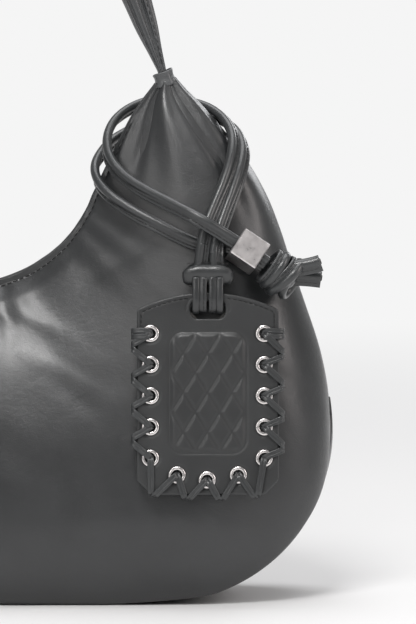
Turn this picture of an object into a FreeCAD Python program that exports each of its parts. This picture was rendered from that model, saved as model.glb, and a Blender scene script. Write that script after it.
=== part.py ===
import FreeCAD, Part
import math
import os
import Sketcher

V = FreeCAD.Vector
doc = FreeCAD.newDocument("hobo_bag")

# ---------------------------------------------------------------- driving sizes
SIZES = [
    ("bag_width", 417.0, "overall width of the crescent"),
    ("horn_height", 294.0, "height of the horn tips above the base"),
    ("mouth_centre", 252.0, "height of the centre of the mouth's arc"),
    ("mouth_radius", 77.9, "radius of the mouth edge"),
    ("half_depth", 57.0, "half depth at the fullest section"),
    ("base_half", 46.5, "half width of the base at the seam"),
    ("horn_end", 107.5, "where the horns end, degrees from straight down"),
    ("leather", 1.6, "thickness of the shell leather"),
    ("lining_in", 3.2, "lining's outer face below the leather's outer face"),
    ("lining_thick", 0.7, "lining thickness"),
    ("facing_in", 1.8, "facing's outer face below the leather's outer face"),
    ("facing_thick", 0.6, "facing thickness"),
    ("board_length", 176.0, "base board length"),
    ("board_width", 76.0, "base board width"),
    ("board_thick", 1.8, "base board thickness"),
    ("board_corner", 14.0, "base board corner radius"),
    ("flat_length", 160.0, "length of the flat part of the base"),
    ("tape_thick", 0.6, "zip tape thickness"),
    ("teeth_width", 2.2, "width of one row of teeth"),
    ("teeth_high", 2.0, "height of the teeth"),
    ("slider_long", 9.0, "slider length"),
    ("slider_wide", 8.4, "slider width"),
    ("slider_plate", 1.1, "slider plate thickness"),
    ("slider_gap", 3.0, "space between the slider's plates"),
    ("puller_long", 25.0, "puller length"),
    ("puller_wide", 6.0, "puller width"),
    ("puller_thick", 1.4, "puller thickness"),
    ("collar_outer", 5.7, "outer radius of the horn collar"),
    ("collar_inner", 4.0, "inner radius of the horn collar"),
    ("collar_long", 4.6, "length of the horn collar"),
    ("strap_end", 2.7, "radius of the strap's end"),
    ("cord_dia", 6.0, "strand diameter"),
    ("bead_side", 16.4, "bead side"),
    ("bead_slot_long", 14.0, "bead slot, long way"),
    ("bead_slot_wide", 7.0, "bead slot, short way"),
    ("bead_edge", 0.5, "bead edge chamfer"),
    ("knot_long", 11.5, "knot half length along the cord"),
    ("knot_wide", 12.6, "knot half width across the cord"),
    ("knot_deep", 10.5, "knot half depth"),
    ("tail_long", 14.5, "tail length"),
    ("tag_width", 77.8, "tag width"),
    ("tag_low", 108.6, "tag's lower edge below the pivot"),
    ("tag_shoulder", 7.0, "tag's shoulders below the pivot"),
    ("tag_top", 2.3, "tag's top above the pivot"),
    ("tag_clip", 8.0, "clipped corner"),
    ("tag_sheet", 1.3, "thickness of each tag leather"),
    ("tag_core", 1.0, "thickness of the board between them"),
    ("slot_half", 9.6, "half width of the tag's slot"),
    ("slot_top", 2.3, "slot's top below the pivot"),
    ("slot_low", 12.0, "slot's foot below the pivot"),
    ("eyelet_hole", 2.6, "eyelet hole radius"),
    ("eyelet_flange", 4.8, "eyelet flange radius"),
    ("eyelet_barrel", 3.2, "eyelet barrel radius"),
    ("lace_dia", 2.0, "lace diameter"),
    ("bar_long", 27.0, "crossbar length"),
    ("bar_radius", 5.2, "crossbar radius"),
    ("leg_wide", 8.2, "width of one hitch leg"),
    ("leg_thick", 2.4, "thickness of one hitch leg"),
    ("loop_inner", 3.6, "inner radius of the loop round the tag's bar"),
]
sheet = doc.addObject("Spreadsheet::Sheet", "Sizes")
for row, (alias, value, note) in enumerate(SIZES, start=1):
    sheet.set("A%d" % row, alias)
    sheet.set("B%d" % row, str(value))
    sheet.set("C%d" % row, note)
    sheet.setAlias("B%d" % row, alias)
doc.recompute()


def size(alias):
    return float(getattr(sheet, alias))


PARTS = []


def keep(obj, label):
    obj.Label = label
    PARTS.append(obj)
    return obj


def bind(obj, prop, expr):
    obj.setExpression(prop, expr.replace("<", "Sizes."))


def feature(label, shape, placement=None):
    obj = doc.addObject("Part::Feature", "f_" + label)
    obj.Shape = shape
    if placement is not None:
        obj.Placement = placement
    return keep(obj, label)


def body(name, placement=None):
    b = doc.addObject("PartDesign::Body", "b_" + name)
    if placement is not None:
        b.Placement = placement
    return b


def plane(b, role):
    for f in b.Origin.OriginFeatures:
        if f.Role == role:
            return f
    raise RuntimeError(role)


def sketch(b, name, role="XY_Plane", offset=0.0):
    s = b.newObject("Sketcher::SketchObject", name)
    s.AttachmentSupport = [(plane(b, role), "")]
    s.MapMode = "FlatFace"
    if offset:
        s.AttachmentOffset = FreeCAD.Placement(V(0, 0, offset), FreeCAD.Rotation())
    return s


def fix(s, geo, pos, ex, ey, cx, cy):
    """ties a sketch point to the origin by two lengths read from the sheet"""
    for kind, expr, c in (("DistanceX", ex, cx), ("DistanceY", ey, cy)):
        if abs(c) < 1e-9:
            a = -2 if kind == "DistanceX" else -1
            s.addConstraint(Sketcher.Constraint("PointOnObject", geo, pos, a))
        elif c > 0:
            k = s.addConstraint(Sketcher.Constraint(kind, -1, 1, geo, pos, c))
            s.setExpression("Constraints[%d]" % k, expr.replace("<", "Sizes."))
        else:
            k = s.addConstraint(Sketcher.Constraint(kind, geo, pos, -1, 1, -c))
            s.setExpression("Constraints[%d]" % k, expr.replace("<", "Sizes."))


def box_sketch(s, hx, hy, ex, ey, oy=0.0):
    """centred rectangle; ex and ey are the half sizes as expressions"""
    p = [(-hx, -hy), (hx, -hy), (hx, hy), (-hx, hy)]
    g = [s.addGeometry(Part.LineSegment(V(*p[i], 0), V(*p[(i + 1) % 4], 0))) for i in range(4)]
    for i in range(4):
        s.addConstraint(Sketcher.Constraint("Coincident", g[i], 2, g[(i + 1) % 4], 1))
    for i in (0, 2):
        s.addConstraint(Sketcher.Constraint("Horizontal", g[i]))
    for i in (1, 3):
        s.addConstraint(Sketcher.Constraint("Vertical", g[i]))
    fix(s, g[0], 1, ex, ey, -hx, -hy)
    fix(s, g[2], 1, ex, ey, hx, hy)
    return g


def circle(s, x, y, r, er, ex="0", ey="0"):
    g = s.addGeometry(Part.Circle(V(x, y, 0), V(0, 0, 1), r))
    k = s.addConstraint(Sketcher.Constraint("Radius", g, r))
    s.setExpression("Constraints[%d]" % k, er.replace("<", "Sizes."))
    if abs(x) < 1e-9 and abs(y) < 1e-9:
        s.addConstraint(Sketcher.Constraint("Coincident", g, 3, -1, 1))
    else:
        s.addConstraint(Sketcher.Constraint("DistanceX", -1, 1, g, 3, x) if x >= 0 else
                        Sketcher.Constraint("DistanceX", g, 3, -1, 1, -x))
        s.addConstraint(Sketcher.Constraint("DistanceY", -1, 1, g, 3, y) if y >= 0 else
                        Sketcher.Constraint("DistanceY", g, 3, -1, 1, -y))
    return g


def pad(b, s, name, length_expr, midplane=False, reverse=False):
    p = b.newObject("PartDesign::Pad", name)
    p.Profile = s
    p.Length = 1
    bind(p, "Length", length_expr)
    if midplane:
        p.Midplane = True
    if reverse:
        p.Reversed = True
    return p


# ---------------------------------------------------------------- the crescent
# Stations run round the mouth's centre. Each holds the outer radius, the mouth
# edge's radius, the half depth, the half width of the gusset and how far the
# gusset's seam lies inside the outline.
ZC = size("mouth_centre")
TAB_TH = [0, 10, 20, 25, 30, 35, 40, 45, 50, 55, 60, 65, 70, 75, 80, 85, 90, 95, 100, 104, 107.5]
OUT_TH = [0, 10, 15, 17.5, 20, 22.5, 25, 27.5, 30, 35, 40, 45, 50, 55, 60, 65, 70, 75, 80, 85, 90, 95, 100, 104, 107.5]
TAB_ROUT = [252.0, 255.89, 260.89, 264.23, 267.75, 271.7, 275.95, 280.5, 284.5, 287.4, 286.2, 280.6, 269.4, 252.2, 231.9, 212.2, 196.4, 184.5, 174.1, 163.6, 153.2, 143.6, 135.4, 129.4, 125.6]
TAB_RIN = [77.9, 77.9, 77.9, 77.9, 77.9, 77.9, 77.9, 77.9, 77.9, 77.9, 77.9, 77.9, 77.95, 78.9, 80.5, 82.9, 86.1, 90.4, 96.2, 103.5, 112.6]
TAB_D = [57.0, 56.8, 56.0, 55.2, 54.2, 52.8, 51.0, 48.6, 45.8, 42.6, 39.2, 35.8, 32.4, 29.0, 25.6, 22.2, 18.8, 15.2, 11.2, 7.8, 5.2]
TAB_G = [46.5, 46.5, 46.2, 45.6, 44.2, 41.4, 36.0, 26.5, 12.0, 0, 0, 0, 0, 0, 0, 0, 0, 0, 0, 0, 0]
TAB_DEL = [0.8, 0.8, 0.8, 0.8, 0.8, 0.9, 1.2, 2.8, 5.0, 0.6, 0, 0, 0, 0, 0, 0, 0, 0, 0, 0, 0]
FG = ([0, .06, .14, .25, .36, .48, .60, .72, .82, .90, .96, 1.0],
      [0, .175, .36, .565, .725, .86, .95, .998, 1.0, .965, .90, .82])
K_DEPTH = size("half_depth") / 57.0
K_BASE = size("base_half") / 46.5
K_MOUTH = size("mouth_radius") / 77.9


def tab(xs, ys, x):
    x = abs(x)
    if x <= xs[0]:
        return ys[0]
    if x >= xs[-1]:
        return ys[-1]
    n = len(xs)
    k = 0
    while x > xs[k + 1]:
        k += 1

    def slope(i):
        if i == 0:
            return 0.0
        if i == n - 1:
            return (ys[i] - ys[i - 1]) / (xs[i] - xs[i - 1])
        return (ys[i + 1] - ys[i - 1]) / (xs[i + 1] - xs[i - 1])
    w = xs[k + 1] - xs[k]
    q = (x - xs[k]) / w
    a, b = slope(k) * w, slope(k + 1) * w
    return ((2 * q**3 - 3 * q**2 + 1) * ys[k] + (q**3 - 2 * q**2 + q) * a
            + (-2 * q**3 + 3 * q**2) * ys[k + 1] + (q**3 - q**2) * b)


def lin(xs, ys, x):
    if x <= xs[0]:
        return ys[0]
    for k in range(len(xs) - 1):
        if x <= xs[k + 1]:
            q = (x - xs[k]) / (xs[k + 1] - xs[k])
            return ys[k] + (ys[k + 1] - ys[k]) * q
    return ys[-1]


def rin(th):
    return tab(TAB_TH, TAB_RIN, th) * K_MOUTH


def rout(th):
    a = abs(th)
    if a <= 17.6:
        return ZC / math.cos(math.radians(a))
    return min(tab(OUT_TH, TAB_ROUT, th), ZC / math.cos(math.radians(min(a, 80.0))))


def depth(th):
    return tab(TAB_TH, TAB_D, th) * K_DEPTH


def gus(th):
    return max(0.0, tab(TAB_TH, TAB_G, th)) * K_BASE


def dele(th):
    return max(0.0, tab(TAB_TH, TAB_DEL, th))


def gap(th):
    """half gap between the mouth edges: narrow at the horns, spread where the zip stands open"""
    a = abs(th)
    g = 7.0 if a < 78 else lin([78, 92, 104, 107.5], [7.0, 5.4, 3.4, 2.8], a)
    return g + spread(th)


def spread(th):
    if th < -27:
        q = (-th - 27) / 58.0
        if q < 1:
            return 8.5 * math.sin(math.pi * q ** 0.85) ** 1.5
    return 0.0


def fg(r):
    return tab(FG[0], FG[1], r) if r > 0 else 0.0


def fs(r):
    r = min(max(r, 0.0), 1.0)
    return r ** 0.9 * (1 - r) ** 0.5 / 0.4016


def section(th, t):
    """half section: radius and distance from the middle plane; t is 0 at the mouth edge, 1 at the seam"""
    ro = rout(th) - dele(th)
    ri = rin(th)
    r = (1 - math.cos(math.pi * t)) / 2
    d = depth(th)
    w = min(1.0, gus(th) / (0.82 * d))
    y = d * ((1 - w) * fs(r) + w * fg(r)) + gap(th) * (1 - r) ** 4
    return ri + (ro - ri) * r, y


def raw(a, b):
    r, y = section(a, b)
    q = math.radians(a)
    return (r * math.sin(q), y, ZC - r * math.cos(q))


def point(th, t, off=0.0):
    """point of the outer face (X, distance from the middle plane, Z), moved inward by off"""
    p = raw(th, t)
    if off == 0:
        return p
    e = 0.004
    lim = size("horn_end")
    t0, t1 = max(0, t - e), min(1, t + e)
    a0, a1 = max(-lim, th - 0.5), min(lim, th + 0.5)
    u0, u1, v0, v1 = raw(a0, t), raw(a1, t), raw(th, t0), raw(th, t1)
    U = [u1[k] - u0[k] for k in range(3)]
    W = [v1[k] - v0[k] for k in range(3)]
    n = [U[1] * W[2] - U[2] * W[1], U[2] * W[0] - U[0] * W[2], U[0] * W[1] - U[1] * W[0]]
    m = math.sqrt(sum(c * c for c in n)) or 1
    n = [c / m for c in n]
    q = math.radians(th)
    er = (math.sin(q), 0, -math.cos(q))
    s = n[1] + 0.3 * (n[0] * er[0] + n[2] * er[2]) * (1 if t > 0.5 else -1)
    if s < 0:
        n = [-c for c in n]
    return (p[0] - off * n[0], p[1] - off * n[1], p[2] - off * n[2])


def skin(rows):
    """interpolated face through a grid of points"""
    s = Part.BSplineSurface()
    s.interpolate([[V(*p) for p in r] for r in rows])
    return s


def slab(outer, inner):
    """closed solid between two grids of points of the same shape"""
    a, b = skin(outer), skin(inner)
    faces = [a.toShape(), b.toShape()]
    ka, kb = a.bounds(), b.bounds()
    for w, i in (("u", 0), ("u", 1), ("v", 2), ("v", 3)):
        ea = (a.uIso(ka[i]) if w == "u" else a.vIso(ka[i])).toShape()
        eb = (b.uIso(kb[i]) if w == "u" else b.vIso(kb[i])).toShape()
        faces.append(Part.makeRuledSurface(ea, eb))
    shell = Part.makeShell(faces)
    shell.sewShape()
    solid = Part.makeSolid(shell)
    if solid.Volume < 0:
        solid.reverse()
    return solid


def stations(lo, hi, n):
    return [lo + (hi - lo) * k / (n - 1) for k in range(n)]


def panel(side, lo, hi, t0, t1, d0, d1, n=45, m=13, floor=0.15):
    """shell strip on one side of the middle plane between two depths below the outer face"""
    grids = []
    for d in (d0, d1):
        rows = []
        for th in stations(lo, hi, n):
            row = []
            for k in range(m):
                t = t0 + (t1 - t0) * k / (m - 1)
                x, y, z = point(th, t, d)
                row.append((x, side * max(y, floor), z))
            rows.append(row)
        grids.append(rows)
    return slab(grids[0], grids[1])


END = size("horn_end")
LEA = size("leather")
LI, LT = size("lining_in"), size("lining_thick")
FI, FT = size("facing_in"), size("facing_thick")
for name, side in (("front", -1), ("back", 1)):
    feature(name + "_panel", panel(side, -END, END, 0.0, 1.0, 0.0, LEA, 61, 15))
    feature("mouth_facing_" + name, panel(side, -86, 86, 0.0, 0.21, FI, FI + FT, 45, 5))
    feature(name + "_lining", panel(side, -94, 94, 0.235, 0.93, LI, LI + LT, 45, 11))

# bottom gusset: a flat middle and two ends that follow the outline up to the points
FLAT = size("flat_length") / 2.0
TH0 = math.degrees(math.atan(FLAT / ZC))


def outline(th, inward):
    q = math.radians(th)
    e = 0.3
    r = rout(th)
    p = (r * math.sin(q), ZC - r * math.cos(q))
    qa, qb = math.radians(th - e), math.radians(th + e)
    a = (rout(th - e) * math.sin(qa), ZC - rout(th - e) * math.cos(qa))
    b = (rout(th + e) * math.sin(qb), ZC - rout(th + e) * math.cos(qb))
    dx, dz = b[0] - a[0], b[1] - a[1]
    m = math.hypot(dx, dz)
    return (p[0] - dz / m * inward, p[1] + dx / m * inward)


def gusset(inner0, inner1, clear, last):
    """strip under the bag from inner0 to inner1 below the outline, clear of the panels by clear"""
    hw0 = gus(TH0) - clear
    mid = Part.makeBox(2 * FLAT, 2 * hw0, inner1 - inner0, V(-FLAT, -hw0, inner0))
    ends = []
    grids = []
    for d in (inner0, inner1):
        rows = []
        for th in stations(TH0, last, 19):
            hw = max(0.8, gus(th) - clear)
            ease = min(1.0, (th - TH0) / 6.0)
            row = []
            for k in range(7):
                v = -1 + 2 * k / 6.0
                x, z = outline(th, d + (dele(th) - 0.5) * v * v * ease)
                if th == TH0:
                    x, z = FLAT, d
                row.append((x, hw * v, z))
            rows.append(row)
        grids.append(rows)
    ends.append(slab(grids[0], grids[1]))
    ends.append(ends[0].mirror(V(0, 0, 0), V(1, 0, 0)))
    return mid, ends


mid, ends = gusset(0.0, LEA, LEA + 0.35, 51.6)
try:
    whole = mid.fuse(ends[0]).fuse(ends[1])
    if not whole.isValid() or len(whole.Solids) != 1:
        raise RuntimeError("fuse")
except Exception:
    whole = Part.makeCompound([mid] + ends)
feature("bottom_gusset", whole)
mid, ends = gusset(4.4, 5.1, 7.0, 44.0)
try:
    whole = mid.fuse(ends[0]).fuse(ends[1])
    if not whole.isValid() or len(whole.Solids) != 1:
        raise RuntimeError("fuse")
except Exception:
    whole = Part.makeCompound([mid] + ends)
feature("base_lining", whole)

# base board: a stiff sheet between the gusset and the lining
b = body("base_board", FreeCAD.Placement(V(0, 0, 2.0), FreeCAD.Rotation()))
s = sketch(b, "board_outline")
box_sketch(s, size("board_length") / 2, size("board_width") / 2, "<board_length / 2", "<board_width / 2")
p = pad(b, s, "board_pad", "<board_thick")
doc.recompute()
edges = ["Edge%d" % (i + 1) for i, e in enumerate(p.Shape.Edges)
         if abs(e.Vertexes[0].Point.z - e.Vertexes[1].Point.z) > 0.5]
f = b.newObject("PartDesign::Fillet", "board_corners")
f.Base = (p, edges)
f.Radius = size("board_corner")
bind(f, "Radius", "<board_corner")
keep(b, "base_board")

# inner slip pocket hanging on the back lining
rows_a, rows_b = [], []
for th in stations(-26, 26, 17):
    ra, rb = [], []
    for k in range(7):
        t = 0.36 + 0.26 * k / 6
        x, y, z = point(th, t, LI + LT + 1.0)
        ra.append((x, y, z))
        x, y, z = point(th, t, LI + LT + 1.8)
        rb.append((x, y, z))
    rows_a.append(ra)
    rows_b.append(rb)
feature("inner_pocket", slab(rows_a, rows_b))

# ---------------------------------------------------------------- zip
TT = size("tape_thick")
TW, THI = size("teeth_width"), size("teeth_high")


def strip(side, lo, hi, r0, r1, ya, yb, n=91):
    """ribbon along the mouth between radii r0, r1 above the edge radius and distances ya, yb"""
    grids = []
    for r in (r0, r1):
        rows = []
        for th in stations(lo, hi, n):
            q = math.radians(th)
            rr = rin(th) + r
            rows.append([(rr * math.sin(q), side * y(th), ZC - rr * math.cos(q)) for y in (ya, lambda a: (ya(a) + yb(a)) / 2, yb)])
        grids.append(rows)
    return slab(grids[0], grids[1])


def row_gap(th):
    """half gap between the two rows of teeth"""
    a = min(1.0, max(0.0, (-th - 24.0) / 5.0))
    b2 = min(1.0, max(0.0, (th + 88.0) / 5.0))
    return 0.2 + spread(th) + 1.1 * (3 * a * a - 2 * a**3) * (3 * b2 * b2 - 2 * b2**3)


for name, side in (("front", -1), ("back", 1)):
    feature("zip_tape_" + name, strip(side, -99, 99, 1.5, 1.5 + TT,
                                      lambda a: row_gap(a) + TW + 0.1, lambda a: max(gap(a) - lin([84, 92], [2.75, 2.0], abs(a)), row_gap(a) + TW + 0.7)))
    feature("zip_teeth_" + name, strip(side, -97, 97, 0.8, 0.8 + THI, row_gap, lambda a: row_gap(a) + TW))

stops = []
for th in (-98.3, 98.3):
    q = math.radians(th)
    r = rin(th) + 1.8
    c = V(r * math.sin(q), 0, ZC - r * math.cos(q))
    bx = Part.makeBox(2.0, 4.6, 2.4, V(-1.0, -2.3, -1.2))
    bx.Placement = FreeCAD.Placement(c, FreeCAD.Rotation(V(0, 1, 0), -th))
    stops.append(bx)
feature("zip_stops", Part.makeCompound(stops))

# slider: two plates joined by a post at the open end, with a loop on top. Local frame: X along the zip
# towards the closed side, Z towards the outside.
TS = -26.0
rs = rin(TS)
q = math.radians(TS)
slider_at = FreeCAD.Placement(V(rs * math.sin(q), 0, ZC - rs * math.cos(q)), FreeCAD.Rotation(V(0, 1, 0), -TS))
SL, SW, SP, SG = size("slider_long"), size("slider_wide"), size("slider_plate"), size("slider_gap")
b = body("zip_slider", slider_at)
s = sketch(b, "lower_plate", "XY_Plane", -0.3 - SG - SP)
box_sketch(s, SL / 2, SW / 2, "<slider_long / 2", "<slider_wide / 2")
pad(b, s, "lower_pad", "<slider_plate")
s = sketch(b, "post", "XY_Plane", -0.3 - SG - SP)
g = [s.addGeometry(Part.LineSegment(V(*a, 0), V(*c, 0))) for a, c in
     (((-4.3, -0.5), (-2.6, -0.5)), ((-2.6, -0.5), (-2.6, 0.5)), ((-2.6, 0.5), (-4.3, 0.5)), ((-4.3, 0.5), (-4.3, -0.5)))]
for i in range(4):
    s.addConstraint(Sketcher.Constraint("Coincident", g[i], 2, g[(i + 1) % 4], 1))
pad(b, s, "post_pad", "<slider_gap + 2 * <slider_plate")
s = sketch(b, "upper_plate", "XY_Plane", -0.3)
box_sketch(s, SL / 2, SW / 2, "<slider_long / 2", "<slider_wide / 2")
pad(b, s, "upper_pad", "<slider_plate")
# the loop that carries the puller: an arch across the slider
s = sketch(b, "loop", "XZ_Plane", 0.0)
pts = [(-3.0, 0.6), (3.0, 0.6), (3.0, 3.4), (2.0, 4.4), (-2.0, 4.4), (-3.0, 3.4)]
g = [s.addGeometry(Part.LineSegment(V(*pts[i], 0), V(*pts[(i + 1) % 6], 0))) for i in range(6)]
for i in range(6):
    s.addConstraint(Sketcher.Constraint("Coincident", g[i], 2, g[(i + 1) % 6], 1))
hole = s.addGeometry(Part.Circle(V(0, 2.4, 0), V(0, 0, 1), 1.2))
k = s.addConstraint(Sketcher.Constraint("Radius", hole, 1.2))
p = pad(b, s, "loop_pad", "<slider_plate * 2", True)
b.Tip = p
keep(b, "zip_slider")

# puller: a flat tongue with an eye; it lies along the closed zip
eye_up = 2.4
pl = slider_at.multiply(FreeCAD.Placement(V(0, 0, eye_up), FreeCAD.Rotation(V(0, 1, 0), -8.5)))
PLN, PWD, PTH = size("puller_long"), size("puller_wide"), size("puller_thick")
ring = Part.makeBox(PLN, PWD, PTH, V(1.9, -PWD / 2, -PTH / 2))
ring = ring.makeFillet(1.2, [e for e in ring.Edges if abs(e.Vertexes[0].Point.z - e.Vertexes[1].Point.z) > 0.5])
arm_a = Part.makeBox(4.4, 1.0, PTH, V(-0.6, 1.7, -PTH / 2))
arm_b = Part.makeBox(4.4, 1.0, PTH, V(-0.6, -2.7, -PTH / 2))
slot = Part.makeBox(2.4, 3.4, 4, V(1.4, -1.7, -2))
pin = Part.makeCylinder(0.7, 5.4, V(0, -2.7, 0), V(0, 1, 0))
eye = Part.makeCylinder(1.6, 5.0, V(PLN - 2.2, 0, -2.5), V(0, 0, 1))
pull = ring.cut(slot).fuse(arm_a).fuse(arm_b).fuse(pin).cut(eye)
feature("zip_puller", pull, pl)

# ---------------------------------------------------------------- horn collars and strap
CO, CI, CL = size("collar_outer"), size("collar_inner"), size("collar_long")


def tip(side):
    q = math.radians(END)
    r = (rin(END) + rout(END)) / 2
    c = V(side * r * math.sin(q), 0, ZC - r * math.cos(q))
    d = V(side * math.cos(q), 0, math.sin(q))
    return c, d


for name, side in (("right", 1), ("left", -1)):
    c, d = tip(side)
    rot = FreeCAD.Rotation(V(0, 0, 1), d)
    base = c + d * 0.3
    outer = doc.addObject("Part::Cylinder", "collar_outer_" + name)
    bind(outer, "Radius", "<collar_outer")
    bind(outer, "Height", "<collar_long")
    outer.Placement = FreeCAD.Placement(base, rot)
    inner = doc.addObject("Part::Cylinder", "collar_inner_" + name)
    bind(inner, "Radius", "<collar_inner")
    bind(inner, "Height", "<collar_long")
    inner.Placement = FreeCAD.Placement(base + d * 1.4, rot)
    cut = doc.addObject("Part::Cut", "collar_cut_" + name)
    cut.Base, cut.Tool = outer, inner
    keep(cut, "horn_collar_" + name)

# strap: rises from a round end above each collar and arches over the bag
c, d = tip(1)
PIV = c + d * (0.3 + CL + size("strap_end") + 0.6)
PIVOT_Z = PIV.z
STRAP = [  # x, z, half width, half thickness
    (PIV.x, PIV.z, 2.7, 2.7), (PIV.x - 3.4, PIV.z + 9.6, 4.1, 3.0), (PIV.x - 8.4, PIV.z + 24.0, 6.6, 3.6),
    (PIV.x - 14.6, PIV.z + 41.5, 8.2, 4.0), (PIV.x - 24.0, PIV.z + 66.0, 10.2, 4.0), (PIV.x - 37.0, PIV.z + 97.0, 12.2, 3.8),
    (PIV.x - 52.6, PIV.z + 128.0, 13.6, 3.6), (PIV.x - 69.6, PIV.z + 153.0, 14.6, 3.4), (PIV.x - 89.4, PIV.z + 170.4, 15.0, 3.3),
    (0.0, PIV.z + 177.0, 15.0, 3.3)]


def strap_wire(shrink, lift):
    pts = STRAP + [(-x, z, w, t) for x, z, w, t in reversed(STRAP[:-1])]
    wires = []
    for i, (x, z, w, t) in enumerate(pts):
        a = pts[max(0, i - 1)]
        c2 = pts[min(len(pts) - 1, i + 1)]
        d2 = V(c2[0] - a[0], 0, c2[1] - a[1])
        d2.normalize()
        pos = V(x, 0, z)
        if i == 0:
            pos = pos + d2 * lift
        if i == len(pts) - 1:
            pos = pos - d2 * lift
        ww, tt = w * shrink[0] - shrink[1], t * shrink[0] - shrink[1]
        side = V(0, 1, 0).cross(d2)
        if ww >= tt:
            el = Part.Ellipse(pos + side * ww, pos + V(0, tt, 0), pos) if ww > tt + 1e-6 else Part.Circle(pos, d2, ww)
        wires.append(Part.Wire([el.toShape()]))
    return wires


shell = Part.makeLoft(strap_wire((1.0, 0.0), 0.0), True, False)
bore = Part.makeLoft(strap_wire((0.62, 0.0), 2.0), True, False)
core = Part.makeLoft(strap_wire((0.50, 0.0), 4.0), True, False)
ends_s = [Part.makeSphere(size("strap_end"), V(s2 * PIV.x, 0, PIV.z)) for s2 in (1, -1)]
outer = shell
try:
    o2 = shell.fuse(ends_s[0]).fuse(ends_s[1]).cut(bore)
    if o2.isValid() and len(o2.Solids) == 1:
        outer = o2
    else:
        raise RuntimeError("strap")
except Exception:
    outer = shell.cut(bore)
feature("strap_leather", outer)
feature("strap_filler", core)

# ---------------------------------------------------------------- cords
CD = size("cord_dia")
# Routes of the two strands from the hitch, round the horn and through the bead to the knot.
CORD_INNER = [
    (133.9, -45.3, 193.77), (134.9, -45, 202.75), (138, -42.8, 211.8), (142.2, -37, 221.79),
    (146.6, -31.6, 232.01), (149.9, -25.6, 241.59), (151.9, -17.8, 251.05), (151.4, -9.2, 259.44),
    (147.4, -0.6, 266.64), (140.4, 7.4, 271.88), (131.4, 14.2, 275.21), (120.6, 18, 277.14),
    (109, 18.6, 277.1), (98, 15.4, 274.12), (88.6, 8.2, 268.83), (82.2, -0.6, 261.44),
    (80.4, -9.6, 252.47), (82.8, -17.2, 244.1), (88.8, -23, 236.91), (96.6, -28.4, 231.39),
    (105.2, -33.8, 226.77), (113.9, -39.4, 222.46), (122.6, -44.8, 218.34), (131.2, -49.6, 214.27),
    (139.6, -51, 209.17), (149.81, -47.85, 202.88), (170.37, -47.85, 189.02)]
CORD_OUTER = [
    (141.3, -45.4, 193.78), (142.4, -44.4, 202.71), (145.8, -40.4, 212.03), (149.6, -35, 222.25),
    (153.4, -29, 232.23), (156.4, -21.2, 241.88), (157.8, -11.8, 250.83), (155.2, -2, 258.74),
    (148.8, 8, 263.84), (139.4, 17, 266.21), (127.8, 23.6, 266.55), (115.4, 26.6, 265.74),
    (103.2, 26.6, 263.14), (92, 22.2, 258.85), (83.4, 13.6, 253.45), (77.6, 3.2, 246.98),
    (74, -8.2, 239.77), (75.8, -17, 232.19), (81.6, -23.6, 225.85), (89.8, -28, 220.16),
    (99.4, -32.4, 214.67), (110, -35.4, 209.28), (120.4, -37.4, 204.02), (130.6, -37.7, 199.44),
    (140.4, -37.5, 197.03), (150.47, -41.75, 199.75), (169.13, -41.75, 187.17)]
# bead's frame: D along the cord, XL through the bead in depth, turned a little about the cord
BEAD_C = V(159.3, -44.8, 195.14)
BEAD_D = V(0.82911, 0.0, -0.55908)
BEAD_N = V(0.55908, 0.0, 0.82911)
BEAD_TURN = math.radians(20.0)
BEAD_X = V(0, 1, 0) * math.cos(BEAD_TURN) - BEAD_N * math.sin(BEAD_TURN)
BEAD_Y = BEAD_N * math.cos(BEAD_TURN) + V(0, 1, 0) * math.sin(BEAD_TURN)
KNOT_NEAR = 12.6           # from the bead's centre to the knot's near face


def route(points, name):
    """straight runs joined by tangent arcs, each as large as its two runs allow"""
    pts = [V(*p) for p in points]
    edges, length, radii = [], 0.0, []
    at = pts[0]
    for i in range(1, len(pts) - 1):
        a, b2, c2 = pts[i - 1], pts[i], pts[i + 1]
        u, w = (a - b2), (c2 - b2)
        lu, lw = u.Length, w.Length
        u.normalize()
        w.normalize()
        turn = math.pi - math.acos(max(-1, min(1, u.dot(w))))
        if turn < 0.004:
            continue
        cut = 0.45 * min(lu, lw)
        rad = cut / math.tan(turn / 2)
        radii.append(rad)
        p0, p1 = b2 + u * cut, b2 + w * cut
        bis = u + w
        bis.normalize()
        mid_p = b2 + bis * (rad / math.cos(turn / 2) - rad)
        if (p0 - at).Length > 1e-6:
            edges.append(Part.LineSegment(at, p0).toShape())
            length += (p0 - at).Length
        edges.append(Part.Arc(p0, mid_p, p1).toShape())
        length += rad * turn
        at = p1
    edges.append(Part.LineSegment(at, pts[-1]).toShape())
    length += (pts[-1] - at).Length
    print(name, "length %.1f" % length, "smallest radius %.1f" % min(radii), "runs",
          " ".join("%.0f" % (pts[i + 1] - pts[i]).Length for i in range(len(pts) - 1)))
    return Part.Wire(edges), length


def tube(points, dia, name):
    path, length = route(points, name)
    d0 = V(*points[1]) - V(*points[0])
    prof = Part.Wire([Part.Circle(V(*points[0]), d0, dia / 2).toShape()])
    solid = path.makePipeShell([prof], True, True)
    want = math.pi * dia * dia / 4 * length
    print(name, "volume %.0f of %.0f" % (solid.Volume, want), solid.isValid())
    if abs(solid.Volume - want) > 0.02 * want:
        raise RuntimeError(name + " volume")
    return solid


feature("cord_strand_inner", tube(CORD_INNER, CD, "cord_strand_inner"))
feature("cord_strand_outer", tube(CORD_OUTER, CD, "cord_strand_outer"))

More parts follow.
